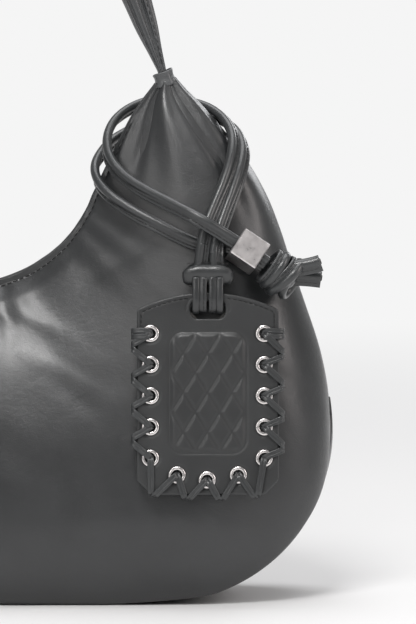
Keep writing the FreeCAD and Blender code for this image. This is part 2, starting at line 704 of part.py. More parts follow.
# bead frame: local Z along the cord, local X across it in depth
BEAD_ROT = FreeCAD.Rotation(BEAD_X, BEAD_D.cross(BEAD_X), BEAD_D, "ZXY")
b = body("cube_bead", FreeCAD.Placement(BEAD_C - BEAD_D * (size("bead_side") / 2), BEAD_ROT))
s = sketch(b, "bead_face")
box_sketch(s, size("bead_side") / 2, size("bead_side") / 2, "<bead_side / 2", "<bead_side / 2")
p = pad(b, s, "bead_pad", "<bead_side")
doc.recompute()
ch = b.newObject("PartDesign::Chamfer", "bead_chamfer")
ch.Base = (p, ["Edge%d" % (i + 1) for i in range(len(p.Shape.Edges))])
ch.Size = size("bead_edge")
bind(ch, "Size", "<bead_edge")
doc.recompute()
v_before = ch.Shape.Volume
s = sketch(b, "bead_slot")
box_sketch(s, size("bead_slot_long") / 2, size("bead_slot_wide") / 2, "<bead_slot_long / 2", "<bead_slot_wide / 2")
pk = b.newObject("PartDesign::Pocket", "bead_pocket")
pk.Profile = s
pk.Type = 1
pk.Reversed = True
doc.recompute()
if pk.Shape.Volume > v_before - 500:
    pk.Reversed = False
    doc.recompute()
if pk.Shape.Volume > v_before - 500:
    raise RuntimeError("bead slot")
b.Tip = pk
keep(b, "cube_bead")

# knot beyond the bead: a rounded mass with a flat near face, and two tails
KL, KW, KD = size("knot_long"), size("knot_wide"), size("knot_deep")
knot_near = BEAD_C + BEAD_D * KNOT_NEAR
m = FreeCAD.Matrix()
m.scale(KD, KW, KL)
ball = Part.makeSphere(1.0).transformGeometry(m)
ball.Placement = FreeCAD.Placement(knot_near + BEAD_D * (KL * 0.86), BEAD_ROT)
half = Part.makeBox(60, 60, 60, V(-30, -30, -60))
half.Placement = FreeCAD.Placement(knot_near, BEAD_ROT)
far = Part.makeBox(60, 60, 60, V(-30, -30, KL * 1.72))
far.Placement = FreeCAD.Placement(knot_near, BEAD_ROT)
knot = ball.cut(half).cut(far)
feature("cord_knot", knot)
tails = []
knot_mid = knot_near + BEAD_D * (KL * 0.86)
for dy, dz, up in ((-3.4, 2.6, 0.24), (3.4, -3.0, -0.10)):
    dirn = V(1.0, 0.0, up)
    dirn.normalize()
    tails.append(Part.makeCylinder(3.0, size("tail_long"), knot_mid + V(7.4, dy, dz + 1.0), dirn))
feature("cord_tails", Part.makeCompound(tails))

# ---------------------------------------------------------------- hitch and tag
TILT = -8.0
TAG_P = V(137.4, -46.5, 170.25)
tag_rot = FreeCAD.Rotation(V(1, 0, 0), TILT)
# local frame of the tag: X across, Z up the tag, Y through it, origin at the pivot in the middle plane
BR = size("bar_radius")
BAR_Z = 14.0
bar = Part.makeCylinder(BR, size("bar_long"), V(-size("bar_long") / 2, 0, BAR_Z), V(1, 0, 0))
bar = bar.makeFillet(2.4, [e for e in bar.Edges if isinstance(e.Curve, Part.Circle)])
LW, LTK, LN = size("leg_wide"), size("leg_thick"), size("loop_inner")
LO = LN + LTK
keyhole = Part.makeBox(2 * 9.0, 2 * LTK + 2 * LN - 4.2, 12.0, V(-9.0, -LO + 2.1, BAR_Z - 6.0))
legs = []
for cx in (-4.5, 4.5):
    ring_o = Part.makeCylinder(LO, LW, V(cx - LW / 2, 0, 0), V(1, 0, 0))
    ring_i = Part.makeCylinder(LN, LW, V(cx - LW / 2, 0, 0), V(1, 0, 0))
    up_o = Part.makeBox(LW, 2 * LO, BAR_Z - 3.0, V(cx - LW / 2, -LO, 0))
    up_i = Part.makeBox(LW, 2 * LN, BAR_Z - 3.0, V(cx - LW / 2, -LN, 0))
    leg = ring_o.fuse(up_o).cut(ring_i.fuse(up_i))
    leg = leg.cut(Part.makeCylinder(BR + 0.05, size("bar_long"), V(-size("bar_long") / 2, 0, BAR_Z), V(1, 0, 0)))
    legs.append(leg)
place = FreeCAD.Placement(TAG_P, tag_rot)
feature("hitch_legs", Part.makeCompound(legs), place)
feature("hitch_crossbar", bar, place)

TWD, TLOW, TSH, TTOP, TCL = (size(k) for k in ("tag_width", "tag_low", "tag_shoulder", "tag_top", "tag_clip"))
SHT, COR = size("tag_sheet"), size("tag_core")
EYE_H, EYE_F, EYE_B = size("eyelet_hole"), size("eyelet_flange"), size("eyelet_barrel")
EYES = ([(-31.45, -20.2 - 17.1 * k) for k in range(5)] + [(30.9, -20.2 - 17.1 * k) for k in range(5)]
        + [(-16.85, -97.8), (-0.35, -100.5), (16.7, -97.8)])


def arch_points():
    """top outline from the right shoulder over the arch to the left shoulder"""
    return [(TWD / 2, -TSH), (0.0, TTOP), (-TWD / 2, -TSH)]


def tag_body(label, y0, thick_alias, inset, hole_r, hole_expr):
    """one sheet of the tag: local Y runs through it; the sheet's front face is at y0"""
    b = body(label, place.multiply(FreeCAD.Placement(V(0, 0, 0), FreeCAD.Rotation())))
    s = sketch(b, label + "_outline", "XZ_Plane", -y0)
    hw, low, cl = TWD / 2 - inset, TLOW - inset, TCL
    pts = [(-hw, -TSH), (-hw, -low + cl), (-hw + cl, -low), (hw - cl, -low), (hw, -low + cl), (hw, -TSH)]
    geo = [s.addGeometry(Part.LineSegment(V(*pts[i], 0), V(*pts[i + 1], 0))) for i in range(5)]
    arc = s.addGeometry(Part.Arc(V(hw, -TSH, 0), V(0, TTOP - inset, 0), V(-hw, -TSH, 0)))
    for i in range(4):
        s.addConstraint(Sketcher.Constraint("Coincident", geo[i], 2, geo[i + 1], 1))
    ins = " - %s" % inset if inset else ""
    fix(s, geo[0], 1, "<tag_width / 2" + ins, "<tag_shoulder", -hw, -TSH)
    fix(s, geo[0], 2, "<tag_width / 2" + ins, "<tag_low - <tag_clip" + ins, -hw, -low + cl)
    fix(s, geo[1], 2, "<tag_width / 2 - <tag_clip" + ins, "<tag_low" + ins, -hw + cl, -low)
    fix(s, geo[2], 2, "<tag_width / 2 - <tag_clip" + ins, "<tag_low" + ins, hw - cl, -low)
    fix(s, geo[3], 2, "<tag_width / 2" + ins, "<tag_low - <tag_clip" + ins, hw, -low + cl)
    fix(s, geo[4], 2, "<tag_width / 2" + ins, "<tag_shoulder", hw, -TSH)
    s.addConstraint(Sketcher.Constraint("Coincident", arc, 1, geo[4], 2))
    s.addConstraint(Sketcher.Constraint("Coincident", arc, 2, geo[0], 1))
    pd = pad(b, s, label + "_pad", "<" + thick_alias, False, True)
    doc.recompute()
    vol = pd.Shape.Volume
    # slot for the hitch legs
    s2 = sketch(b, label + "_slot", "XZ_Plane", -y0)
    sh, st, sl = size("slot_half"), size("slot_top"), size("slot_low")
    q4 = [(-sh, -st), (-sh, -sl + 4.0), (-sh + 4.0, -sl), (sh - 4.0, -sl), (sh, -sl + 4.0), (sh, -st)]
    g4 = [s2.addGeometry(Part.LineSegment(V(*q4[i], 0), V(*q4[(i + 1) % 6], 0))) for i in range(6)]
    for i in range(6):
        s2.addConstraint(Sketcher.Constraint("Coincident", g4[i], 2, g4[(i + 1) % 6], 1))
    fix(s2, g4[0], 1, "<slot_half", "<slot_top", -sh, -st)
    fix(s2, g4[5], 1, "<slot_half", "<slot_top", sh, -st)
    fix(s2, g4[0], 2, "<slot_half", "<slot_low - 4", -sh, -sl + 4)
    fix(s2, g4[1], 2, "<slot_half - 4", "<slot_low", -sh + 4, -sl)
    fix(s2, g4[2], 2, "<slot_half - 4", "<slot_low", sh - 4, -sl)
    fix(s2, g4[3], 2, "<slot_half", "<slot_low - 4", sh, -sl + 4)
    cut = b.newObject("PartDesign::Pocket", label + "_slot_cut")
    cut.Profile = s2
    cut.Type = 1
    cut.Midplane = True
    doc.recompute()
    if cut.Shape.Volume > vol - 50:
        raise RuntimeError(label + " slot")
    vol = cut.Shape.Volume
    # eyelet holes
    s3 = sketch(b, label + "_holes", "XZ_Plane", -y0)
    for ex, ez in EYES:
        circle(s3, ex, ez, hole_r, hole_expr)
    cut = b.newObject("PartDesign::Pocket", label + "_holes_cut")
    cut.Profile = s3
    cut.Type = 1
    cut.Midplane = True
    doc.recompute()
    if cut.Shape.Volume > vol - 50:
        raise RuntimeError(label + " holes")
    b.Tip = cut
    return keep(b, label)


half_t = SHT + COR / 2
tag_body("tag_front", -half_t, "tag_sheet", 0.0, EYE_B + 0.15, "<eyelet_barrel + 0.15")
tag_body("tag_board", -COR / 2, "tag_core", 1.6, EYE_B + 0.15, "<eyelet_barrel + 0.15")
tag_body("tag_back", COR / 2, "tag_sheet", 0.0, EYE_B + 0.15, "<eyelet_barrel + 0.15")

# eyelets: a barrel with a flange on each face
eye_solids = []
for ex, ez in EYES:
    barrel = Part.makeCylinder(EYE_B, 2 * half_t + 1.2, V(ex, -half_t - 0.6, ez), V(0, 1, 0))
    fl_f = Part.makeCylinder(EYE_F, 0.6, V(ex, -half_t - 0.62, ez), V(0, 1, 0))
    fl_b = Part.makeCylinder(EYE_F - 0.6, 0.5, V(ex, half_t + 0.02, ez), V(0, 1, 0))
    hole_c = Part.makeCylinder(EYE_H, 12, V(ex, -6, ez), V(0, 1, 0))
    eye_solids.append(barrel.fuse(fl_f).fuse(fl_b).cut(hole_c))
feature("tag_eyelets", Part.makeCompound(eye_solids), place)

# lace: one flat turn through each eyelet and round the tag's edge
lace = []
for ex, ez in EYES:
    if abs(ex) > 25:
        out = V(1 if ex > 0 else -1, 0, 0)
        far_d = TWD / 2 - abs(ex) + 1.6
    else:
        out = V(0, 0, -1)
        far_d = TLOW - abs(ez) + 1.6
    yy = half_t + 2.0
    c0 = V(ex, 0, ez)
    pts = [c0 + V(0, -yy, 0), c0 + out * far_d + V(0, -yy, 0), c0 + out * far_d + V(0, yy, 0), c0 + V(0, yy, 0)]
    rr = 1.2
    edges = []
    for i in range(4):
        a, b2, c2 = pts[i - 1], pts[i], pts[(i + 1) % 4]
        u = a - b2
        w = c2 - b2
        u.normalize()
        w.normalize()
        nxt_u = b2 - c2
        nxt_u.normalize()
        bis = u + w
        bis.normalize()
        edges.append(Part.Arc(b2 + u * rr, b2 + bis * (rr * math.sqrt(2) - rr), b2 + w * rr).toShape())
        edges.append(Part.LineSegment(b2 + w * rr, c2 + nxt_u * rr).toShape())
    path = Part.Wire(Part.__sortEdges__(edges))
    e1 = edges[1]
    st = e1.Vertexes[0].Point
    dn = e1.Vertexes[1].Point - st
    prof = Part.Wire([Part.Circle(st, dn, size("lace_dia") / 2).toShape()])
    start_wire = Part.Wire(edges[1:] + edges[:1])
    lace.append(start_wire.makePipeShell([prof], True, True))
feature("tag_lace", Part.makeCompound(lace), place)

# ---------------------------------------------------------------- checks and files
doc.recompute()
bad = []
for o in doc.Objects:
    if "Invalid" in o.State or "Error" in o.State:
        bad.append((o.Name, o.State))
for o in PARTS:
    sh = o.Shape
    if sh.isNull() or not sh.isValid() or sh.Volume <= 0:
        bad.append((o.Label, "shape"))
if bad:
    raise RuntimeError(str(bad))
labels = [o.Label for o in PARTS]
if len(set(labels)) != len(labels):
    raise RuntimeError("labels")
os.makedirs("parts", exist_ok=True)
for o in PARTS:
    o.Shape.exportStep("parts/%s.step" % o.Label)
    bb = o.Shape.BoundBox
    print("%-20s vol %9.1f  x %.1f..%.1f  y %.1f..%.1f  z %.1f..%.1f solids %d" % (
        o.Label, o.Shape.Volume, bb.XMin, bb.XMax, bb.YMin, bb.YMax, bb.ZMin, bb.ZMax, len(o.Shape.Solids)))
print(len(PARTS), "parts; strap pivot z %.3f x %.3f" % (PIV.z, PIV.x), "slider", slider_at.Base, "tag pivot", TAG_P)
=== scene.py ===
import bpy
import bmesh
import math
import random
import numpy as np
from mathutils import Matrix, Vector


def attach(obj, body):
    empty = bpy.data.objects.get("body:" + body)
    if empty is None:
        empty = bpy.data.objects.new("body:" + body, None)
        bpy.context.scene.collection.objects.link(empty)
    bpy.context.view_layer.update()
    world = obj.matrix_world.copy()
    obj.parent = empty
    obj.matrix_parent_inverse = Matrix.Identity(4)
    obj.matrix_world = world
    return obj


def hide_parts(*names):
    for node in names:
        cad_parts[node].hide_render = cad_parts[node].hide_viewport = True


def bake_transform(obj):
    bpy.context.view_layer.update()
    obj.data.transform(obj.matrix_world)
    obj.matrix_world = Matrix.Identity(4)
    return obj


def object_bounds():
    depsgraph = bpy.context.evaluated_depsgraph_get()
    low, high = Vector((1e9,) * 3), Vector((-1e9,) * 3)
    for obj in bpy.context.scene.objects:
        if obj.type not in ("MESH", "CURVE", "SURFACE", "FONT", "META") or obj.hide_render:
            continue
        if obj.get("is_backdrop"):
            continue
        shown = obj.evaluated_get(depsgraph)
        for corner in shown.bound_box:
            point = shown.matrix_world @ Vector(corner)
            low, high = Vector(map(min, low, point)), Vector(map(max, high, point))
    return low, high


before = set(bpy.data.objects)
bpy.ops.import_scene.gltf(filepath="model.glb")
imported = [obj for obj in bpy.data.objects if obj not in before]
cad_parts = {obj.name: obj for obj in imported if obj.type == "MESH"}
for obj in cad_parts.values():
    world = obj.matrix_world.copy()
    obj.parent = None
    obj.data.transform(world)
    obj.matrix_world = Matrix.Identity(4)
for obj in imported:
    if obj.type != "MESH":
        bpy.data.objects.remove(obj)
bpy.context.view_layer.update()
random.seed(7)
MM = 0.001

# ------------------------------------------------------------------ camera and light
CAM_EL = math.radians(4.0)
CAM_D = 2.6
AIM = Vector((0.1375, -0.026, 0.1606))
cam_data = bpy.data.cameras.new("camera")
cam = bpy.data.objects.new("camera", cam_data)
bpy.context.scene.collection.objects.link(cam)
cam.location = AIM + Vector((0, -math.cos(CAM_EL), math.sin(CAM_EL))) * CAM_D
cam.rotation_euler = (math.pi / 2 - CAM_EL, 0, 0)
cam_data.sensor_fit = "VERTICAL"
cam_data.sensor_height = 24.0
cam_data.lens = 24.0 * CAM_D / 0.3455
cam_data.clip_end = 60
bpy.context.scene.camera = cam

world = bpy.data.worlds.new("studio")
bpy.context.scene.world = world
world.use_nodes = True
wn = world.node_tree.nodes
wn["Background"].inputs[0].default_value = (0.913, 0.913, 0.913, 1)
lpath = world.node_tree.nodes.new("ShaderNodeLightPath")
level = world.node_tree.nodes.new("ShaderNodeMapRange")
level.inputs["To Min"].default_value = 0.34
level.inputs["To Max"].default_value = 1.0
world.node_tree.links.new(lpath.outputs["Is Camera Ray"], level.inputs["Value"])
world.node_tree.links.new(level.outputs["Result"], wn["Background"].inputs[1])
bpy.context.scene.view_settings.view_transform = "Standard"
bpy.context.scene.view_settings.look = "None"
bpy.context.scene.view_settings.exposure = 0.0


def area(name, loc, target, sx, sy, watts, color=(1, 1, 1), spread=math.pi):
    d = bpy.data.lights.new(name, "AREA")
    d.shape = "RECTANGLE"
    d.size, d.size_y = sx, sy
    d.energy = watts
    d.color = color
    d.spread = spread
    o = bpy.data.objects.new(name, d)
    bpy.context.scene.collection.objects.link(o)
    o.location = loc
    o.rotation_euler = (Vector(target) - Vector(loc)).to_track_quat("-Z", "Y").to_euler()
    return o


area("softbox", (-0.17, -1.16, 1.66), (-0.02, -0.02, 0.135), 0.62, 0.46, 19.0, (1.0, 0.992, 0.985))
area("fill", (-1.2, -2.4, 1.2), (0.0, 0, 0.15), 1.0, 1.0, 9, (1.0, 0.985, 0.975))
area("side", (2.1, -0.9, 1.2), (0.15, 0, 0.17), 0.8, 1.4, 16, (1.0, 0.93, 0.91))
area("top", (0.25, 0.35, 2.4), (0.05, 0, 0.1), 1.8, 1.4, 25, (0.98, 0.985, 1.0))
area("rim", (1.2, 1.9, 1.1), (0.1, 0, 0.2), 0.9, 0.9, 9, (0.97, 0.98, 1.0))


# ------------------------------------------------------------------ node helpers
def material(name):
    m = bpy.data.materials.new(name)
    m.use_nodes = True
    nt = m.node_tree
    return m, nt, nt.nodes["Principled BSDF"]


def node(nt, kind, **kw):
    n = nt.nodes.new(kind)
    for k, v in kw.items():
        setattr(n, k, v)
    return n


def coords(nt, scale=(1, 1, 1)):
    tc = node(nt, "ShaderNodeTexCoord")
    mp = node(nt, "ShaderNodeMapping")
    mp.inputs["Scale"].default_value = scale
    nt.links.new(tc.outputs["Object"], mp.inputs["Vector"])
    return mp.outputs["Vector"]


def noise(nt, vec, scale, detail=3.0, rough=0.5, dist=0.0):
    n = node(nt, "ShaderNodeTexNoise")
    n.inputs["Scale"].default_value = scale
    n.inputs["Detail"].default_value = detail
    n.inputs["Roughness"].default_value = rough
    n.inputs["Distortion"].default_value = dist
    nt.links.new(vec, n.inputs["Vector"])
    return n.outputs["Fac"]


def ramp(nt, fac, stops):
    r = node(nt, "ShaderNodeValToRGB")
    e = r.color_ramp.elements
    while len(e) < len(stops):
        e.new(0.5)
    for k, (p, c) in enumerate(stops):
        e[k].position = p
        e[k].color = (c, c, c, 1) if isinstance(c, (int, float)) else tuple(c) + (1,)
    nt.links.new(fac, r.inputs["Fac"])
    return r.outputs["Color"]


def mix(nt, fac, a, b, kind="MIX"):
    m = node(nt, "ShaderNodeMix")
    m.data_type = "RGBA"
    m.blend_type = kind
    for sock, v in ((m.inputs[0], fac), (m.inputs[6], a), (m.inputs[7], b)):
        if isinstance(v, (int, float)):
            sock.default_value = v if sock == m.inputs[0] else (v, v, v, 1)
        elif isinstance(v, tuple):
            sock.default_value = v + (1,) if len(v) == 3 else v
        else:
            nt.links.new(v, sock)
    return m.outputs[2]


def bump(nt, bsdf, layers):
    """layers: (height socket, strength, distance in metres)"""
    last = None
    for h, s, d in layers:
        b = node(nt, "ShaderNodeBump")
        b.inputs["Strength"].default_value = s
        b.inputs["Distance"].default_value = d
        nt.links.new(h, b.inputs["Height"])
        if last is not None:
            nt.links.new(last, b.inputs["Normal"])
        last = b.outputs["Normal"]
    nt.links.new(last, bsdf.inputs["Normal"])


def leather(name, dark, light, rough=(0.3, 0.48), coat=0.25, grain=1.0, wave=1.0):
    m, nt, b = material(name)
    v = coords(nt)
    big = noise(nt, v, 9.0, 3.0, 0.55)
    cloud = noise(nt, v, 34.0, 4.0, 0.6, 0.4)
    fine = noise(nt, v, 420.0, 3.0, 0.6)
    vo = node(nt, "ShaderNodeTexVoronoi")
    vo.feature = "DISTANCE_TO_EDGE"
    vo.inputs["Scale"].default_value = 780.0
    nt.links.new(v, vo.inputs["Vector"])
    cells = ramp(nt, vo.outputs["Distance"], [(0.0, 0.0), (0.10, 1.0)])
    base = mix(nt, ramp(nt, big, [(0.34, 0.0), (0.66, 1.0)]), dark, light)
    base = mix(nt, ramp(nt, cloud, [(0.35, 0.0), (0.75, 0.34)]), base, tuple(min(1, c * 1.35 + 0.004) for c in light))
    # rubbed, lighter convex edges (wear) and painted shade darkening the hollows and creases
    geo = node(nt, "ShaderNodeNewGeometry")
    edge = ramp(nt, geo.outputs["Pointiness"], [(0.40, 0.0), (0.5, 0.42), (0.60, 1.0)])
    # painted shade: hollows multiplied down to 0.55; rubbed convex edges raised to 1.28
    base = mix(nt, edge, mix(nt, 1.0, base, 0.55, "MULTIPLY"), mix(nt, 1.0, base, 1.28, "MULTIPLY"))
    nt.links.new(base, b.inputs["Base Color"])
    rr = ramp(nt, mix(nt, 0.5, cloud, fine), [(0.3, rough[0]), (0.7, rough[1])])
    nt.links.new(rr, b.inputs["Roughness"])
    b.inputs["Coat Weight"].default_value = coat
    b.inputs["Coat Roughness"].default_value = 0.22
    b.inputs["Specular IOR Level"].default_value = 0.55
    crease = noise(nt, coords(nt, (1.0, 1.0, 2.2)), 95.0, 5.0, 0.62, 1.3)
    folds = ramp(nt, crease, [(0.44, 1.0), (0.5, 0.0), (0.56, 1.0)])
    bump(nt, b, [(cells, 0.16 * grain, 0.00012), (fine, 0.20 * grain, 0.00018), (folds, 0.10 * wave, 0.0004), (cloud, 0.22 * wave, 0.0022)])
    return m


def metal(name, col=(0.80, 0.765, 0.755), rough=(0.16, 0.32)):
    m, nt, b = material(name)
    v = coords(nt)
    n1 = noise(nt, v, 260.0, 3.0, 0.6)
    n2 = noise(nt, coords(nt, (1, 1, 9)), 900.0, 2.0, 0.5)
    nt.links.new(mix(nt, ramp(nt, n1, [(0.3, 0.0), (0.7, 1.0)]), tuple(c * 0.86 for c in col), col), b.inputs["Base Color"])
    nt.links.new(ramp(nt, mix(nt, 0.5, n1, n2), [(0.3, rough[0]), (0.7, rough[1])]), b.inputs["Roughness"])
    b.inputs["Metallic"].default_value = 1.0
    bump(nt, b, [(n2, 0.05, 0.00005), (n1, 0.05, 0.0001)])
    return m


def fabric(name, dark, light, pitch, strength=0.6, rough=0.85, sheen=0.3):
    """twill weave: two crossed sets of threads, in metres of pitch"""
    m, nt, b = material(name)
    k = 2 * math.pi / pitch
    waves = []
    for ax, direction in (("X", (1.0, 0.4, 1.0)), ("Z", (-1.0, 0.4, 1.0))):
        w = node(nt, "ShaderNodeTexWave")
        w.wave_type = "BANDS"
        w.bands_direction = "DIAGONAL"
        w.inputs["Scale"].default_value = k / 20.0
        w.inputs["Distortion"].default_value = 0.6
        w.inputs["Detail"].default_value = 1.0
        nt.links.new(coords(nt, direction), w.inputs["Vector"])
        waves.append(w.outputs["Fac"])
    n1 = noise(nt, coords(nt), 60.0, 3.0, 0.6)
    h = mix(nt, 0.5, waves[0], waves[1])
    c = mix(nt, h, dark, light)
    c = mix(nt, ramp(nt, n1, [(0.3, 0.0), (0.8, 0.5)]), c, tuple(x * 1.25 for x in light))
    nt.links.new(c, b.inputs["Base Color"])
    nt.links.new(ramp(nt, n1, [(0.2, rough - 0.08), (0.8, rough + 0.05)]), b.inputs["Roughness"])
    b.inputs["Sheen Weight"].default_value = sheen
    b.inputs["Sheen Roughness"].default_value = 0.5
    bump(nt, b, [(h, strength, 0.0002)])
    return m


SHELL = leather("leather_shell", (0.0150, 0.0160, 0.0170), (0.0290, 0.0305, 0.0320), (0.30, 0.46), 0.30)
# strap leather, shared by the horn collars: painted about twice as light as the shell leather, painted light standing
# in for the light falling on the strap's face
STRAP_PAINTED_LIGHTER = leather("leather_strap_painted_lighter", (0.030, 0.0315, 0.0330), (0.068, 0.0710, 0.0740), (0.30, 0.46), 0.28)
CORDL = leather("leather_cord", (0.016, 0.0175, 0.0185), (0.034, 0.0365, 0.038), (0.26, 0.40), 0.35)
TAGL = leather("leather_tag", (0.0180, 0.0190, 0.0198), (0.0290, 0.0305, 0.0315), (0.36, 0.5), 0.15, 1.3, 0.4)
LACE = leather("leather_lace", (0.017, 0.0185, 0.0195), (0.034, 0.0365, 0.038), (0.30, 0.46), 0.25, 1.4, 0.6)
EDGE = leather("leather_edge", (0.020, 0.019, 0.019), (0.034, 0.032, 0.031), (0.5, 0.7), 0.0)
NICKEL = metal("nickel")
SATIN = metal("satin_nickel", (0.80, 0.765, 0.76), (0.26, 0.42))
TAPE = fabric("zip_tape_weave", (0.006, 0.006, 0.0065), (0.018, 0.018, 0.019), 0.0007, 0.8)
LINING = fabric("lining_twill", (0.055, 0.050, 0.046), (0.105, 0.098, 0.090), 0.0009, 0.6)
THREAD = fabric("thread_twist", (0.0022, 0.0022, 0.0024), (0.0065, 0.0065, 0.007), 0.0004, 0.5, 0.6, 0.1)
BOARD = fabric("board_fibre", (0.020, 0.019, 0.018), (0.036, 0.034, 0.032), 0.0012, 0.3, 0.8, 0.0)
FILL = fabric("filler_spun", (0.20, 0.19, 0.17), (0.36, 0.34, 0.30), 0.001, 0.6, 0.9, 0.2)

# ------------------------------------------------------------------ the crescent, as the CAD has it (mm)
ZC = 252.0
TAB_TH = [0, 10, 20, 25, 30, 35, 40, 45, 50, 55, 60, 65, 70, 75, 80, 85, 90, 95, 100, 104, 107.5]
OUT_TH = [0, 10, 15, 17.5, 20, 22.5, 25, 27.5, 30, 35, 40, 45, 50, 55, 60, 65, 70, 75, 80, 85, 90, 95, 100, 104, 107.5]
TAB_ROUT = [252.0, 255.89, 260.89, 264.23, 267.75, 271.7, 275.95, 280.5, 284.5, 287.4, 286.2, 280.6, 269.4, 252.2,
            231.9, 212.2, 196.4, 184.5, 174.1, 163.6, 153.2, 143.6, 135.4, 129.4, 125.6]
TAB_RIN = [77.9] * 12 + [77.95, 78.9, 80.5, 82.9, 86.1, 90.4, 96.2, 103.5, 112.6]
TAB_D = [57.0, 56.8, 56.0, 55.2, 54.2, 52.8, 51.0, 48.6, 45.8, 42.6, 39.2, 35.8, 32.4, 29.0, 25.6, 22.2, 18.8, 15.2, 11.2, 7.8, 5.2]
TAB_G = [46.5, 46.5, 46.2, 45.6, 44.2, 41.4, 36.0, 26.5, 12.0] + [0] * 12
TAB_DEL = [0.8, 0.8, 0.8, 0.8, 0.8, 0.9, 1.0, 1.3, 1.5, 0.6] + [0] * 11
FG_X = [0, .06, .14, .25, .36, .48, .60, .72, .82, .90, .96, 1.0]
FG_Y = [0, .175, .36, .565, .725, .86, .95, .998, 1.0, .965, .90, .82]
END = 107.5


def tab(xs, ys, x):
    xs, ys = np.array(xs, float), np.array(ys, float)
    x = np.clip(np.abs(np.asarray(x, float)), xs[0], xs[-1])
    s = np.empty(len(xs))
    s[0] = 0.0
    s[-1] = (ys[-1] - ys[-2]) / (xs[-1] - xs[-2])
    s[1:-1] = (ys[2:] - ys[:-2]) / (xs[2:] - xs[:-2])
    k = np.clip(np.searchsorted(xs, x, side="right") - 1, 0, len(xs) - 2)
    w = xs[k + 1] - xs[k]
    q = (x - xs[k]) / w
    return ((2 * q**3 - 3 * q**2 + 1) * ys[k] + (q**3 - 2 * q**2 + q) * s[k] * w
            + (-2 * q**3 + 3 * q**2) * ys[k + 1] + (q**3 - q**2) * s[k + 1] * w)


def smooth(a, b, x):
    q = np.clip((np.asarray(x, float) - a) / (b - a), 0, 1)
    return q * q * (3 - 2 * q)


def bell(x, c, w):
    return np.exp(-((np.asarray(x, float) - c) / w) ** 2)


def rin(th):
    return tab(TAB_TH, TAB_RIN, th)


def rout(th):
    a = np.abs(th)
    flat = ZC / np.cos(np.radians(np.minimum(a, 80.0)))
    return np.where(a <= 17.6, flat, np.minimum(tab(OUT_TH, TAB_ROUT, a), flat))


def spread(th):
    q = np.clip((-np.asarray(th, float) - 27) / 58.0, 0, 1)
    return 8.5 * np.maximum(np.sin(np.pi * q ** 0.85), 0) ** 1.5


def gap(th):
    return np.interp(np.abs(th), [78, 92, 104, 107.5], [7.0, 5.4, 3.4, 2.8]) + spread(th)


def row_gap(th):
    return 0.2 + spread(th) + 1.1 * smooth(-24, -29, th) * smooth(-88, -83, th)


def section(th, t):
    ro = rout(th) - np.maximum(tab(TAB_TH, TAB_DEL, th), 0)
    ri = rin(th)
    r = (1 - np.cos(np.pi * t)) / 2
    d = tab(TAB_TH, TAB_D, th)
    w = np.minimum(1.0, np.maximum(tab(TAB_TH, TAB_G, th), 0) / (0.82 * d))
    f_s = r ** 0.9 * (1 - r) ** 0.5 / 0.4016
    y = d * ((1 - w) * f_s + w * tab(FG_X, FG_Y, r)) + gap(th) * (1 - r) ** 4
    return ri + (ro - ri) * r, y


def raw(th, t):
    """(X, half depth, Z) arrays in mm of the outer face"""
    th, t = np.broadcast_arrays(np.asarray(th, float), np.asarray(t, float))
    r, y = section(th, t)
    q = np.radians(th)
    return np.stack([r * np.sin(q), y, ZC - r * np.cos(q)], -1)


def normals(th, t):
    e, f = 0.004, 0.4
    t0, t1 = np.clip(t - e, 0, 1), np.clip(t + e, 0, 1)
    a0, a1 = np.clip(th - f, -END, END), np.clip(th + f, -END, END)
    n = np.cross(raw(a1, t) - raw(a0, t), raw(th, t1) - raw(th, t0))
    n /= np.maximum(np.linalg.norm(n, axis=-1, keepdims=True), 1e-9)
    q = np.radians(th)
    s = n[..., 1] + 0.3 * (n[..., 0] * np.sin(q) - n[..., 2] * np.cos(q)) * np.where(t > 0.5, 1, -1)
    return n * np.where(s < 0, -1, 1)[..., None]


# ------------------------------------------------------------------ mesh helpers
def make(name, verts, faces, mat, body="root", slot="shell_leather", replaces=(), smooth_shade=True, scale=MM):
    me = bpy.data.meshes.new(name)
    me.from_pydata([tuple(float(c) * scale for c in v) for v in verts], [], faces)
    bm = bmesh.new()
    bm.from_mesh(me)
    bmesh.ops.remove_doubles(bm, verts=bm.verts, dist=1e-7)
    bmesh.ops.recalc_face_normals(bm, faces=bm.faces)
    bm.to_mesh(me)
    bm.free()
    me.update()
    for p in me.polygons:
        p.use_smooth = smooth_shade
    o = bpy.data.objects.new(name, me)
    bpy.context.scene.collection.objects.link(o)
    me.materials.append(mat)
    if replaces:
        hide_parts(*replaces)
    if body:
        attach(o, body)
    return o


def grid_faces(nu, nv, loop_u=False, loop_v=False, base=0):
    f = []
    for i in range(nu if loop_u else nu - 1):
        for j in range(nv if loop_v else nv - 1):
            a, b = i, (i + 1) % nu
            c, d = j, (j + 1) % nv
            f.append((base + a * nv + c, base + b * nv + c, base + b * nv + d, base + a * nv + d))
    return f


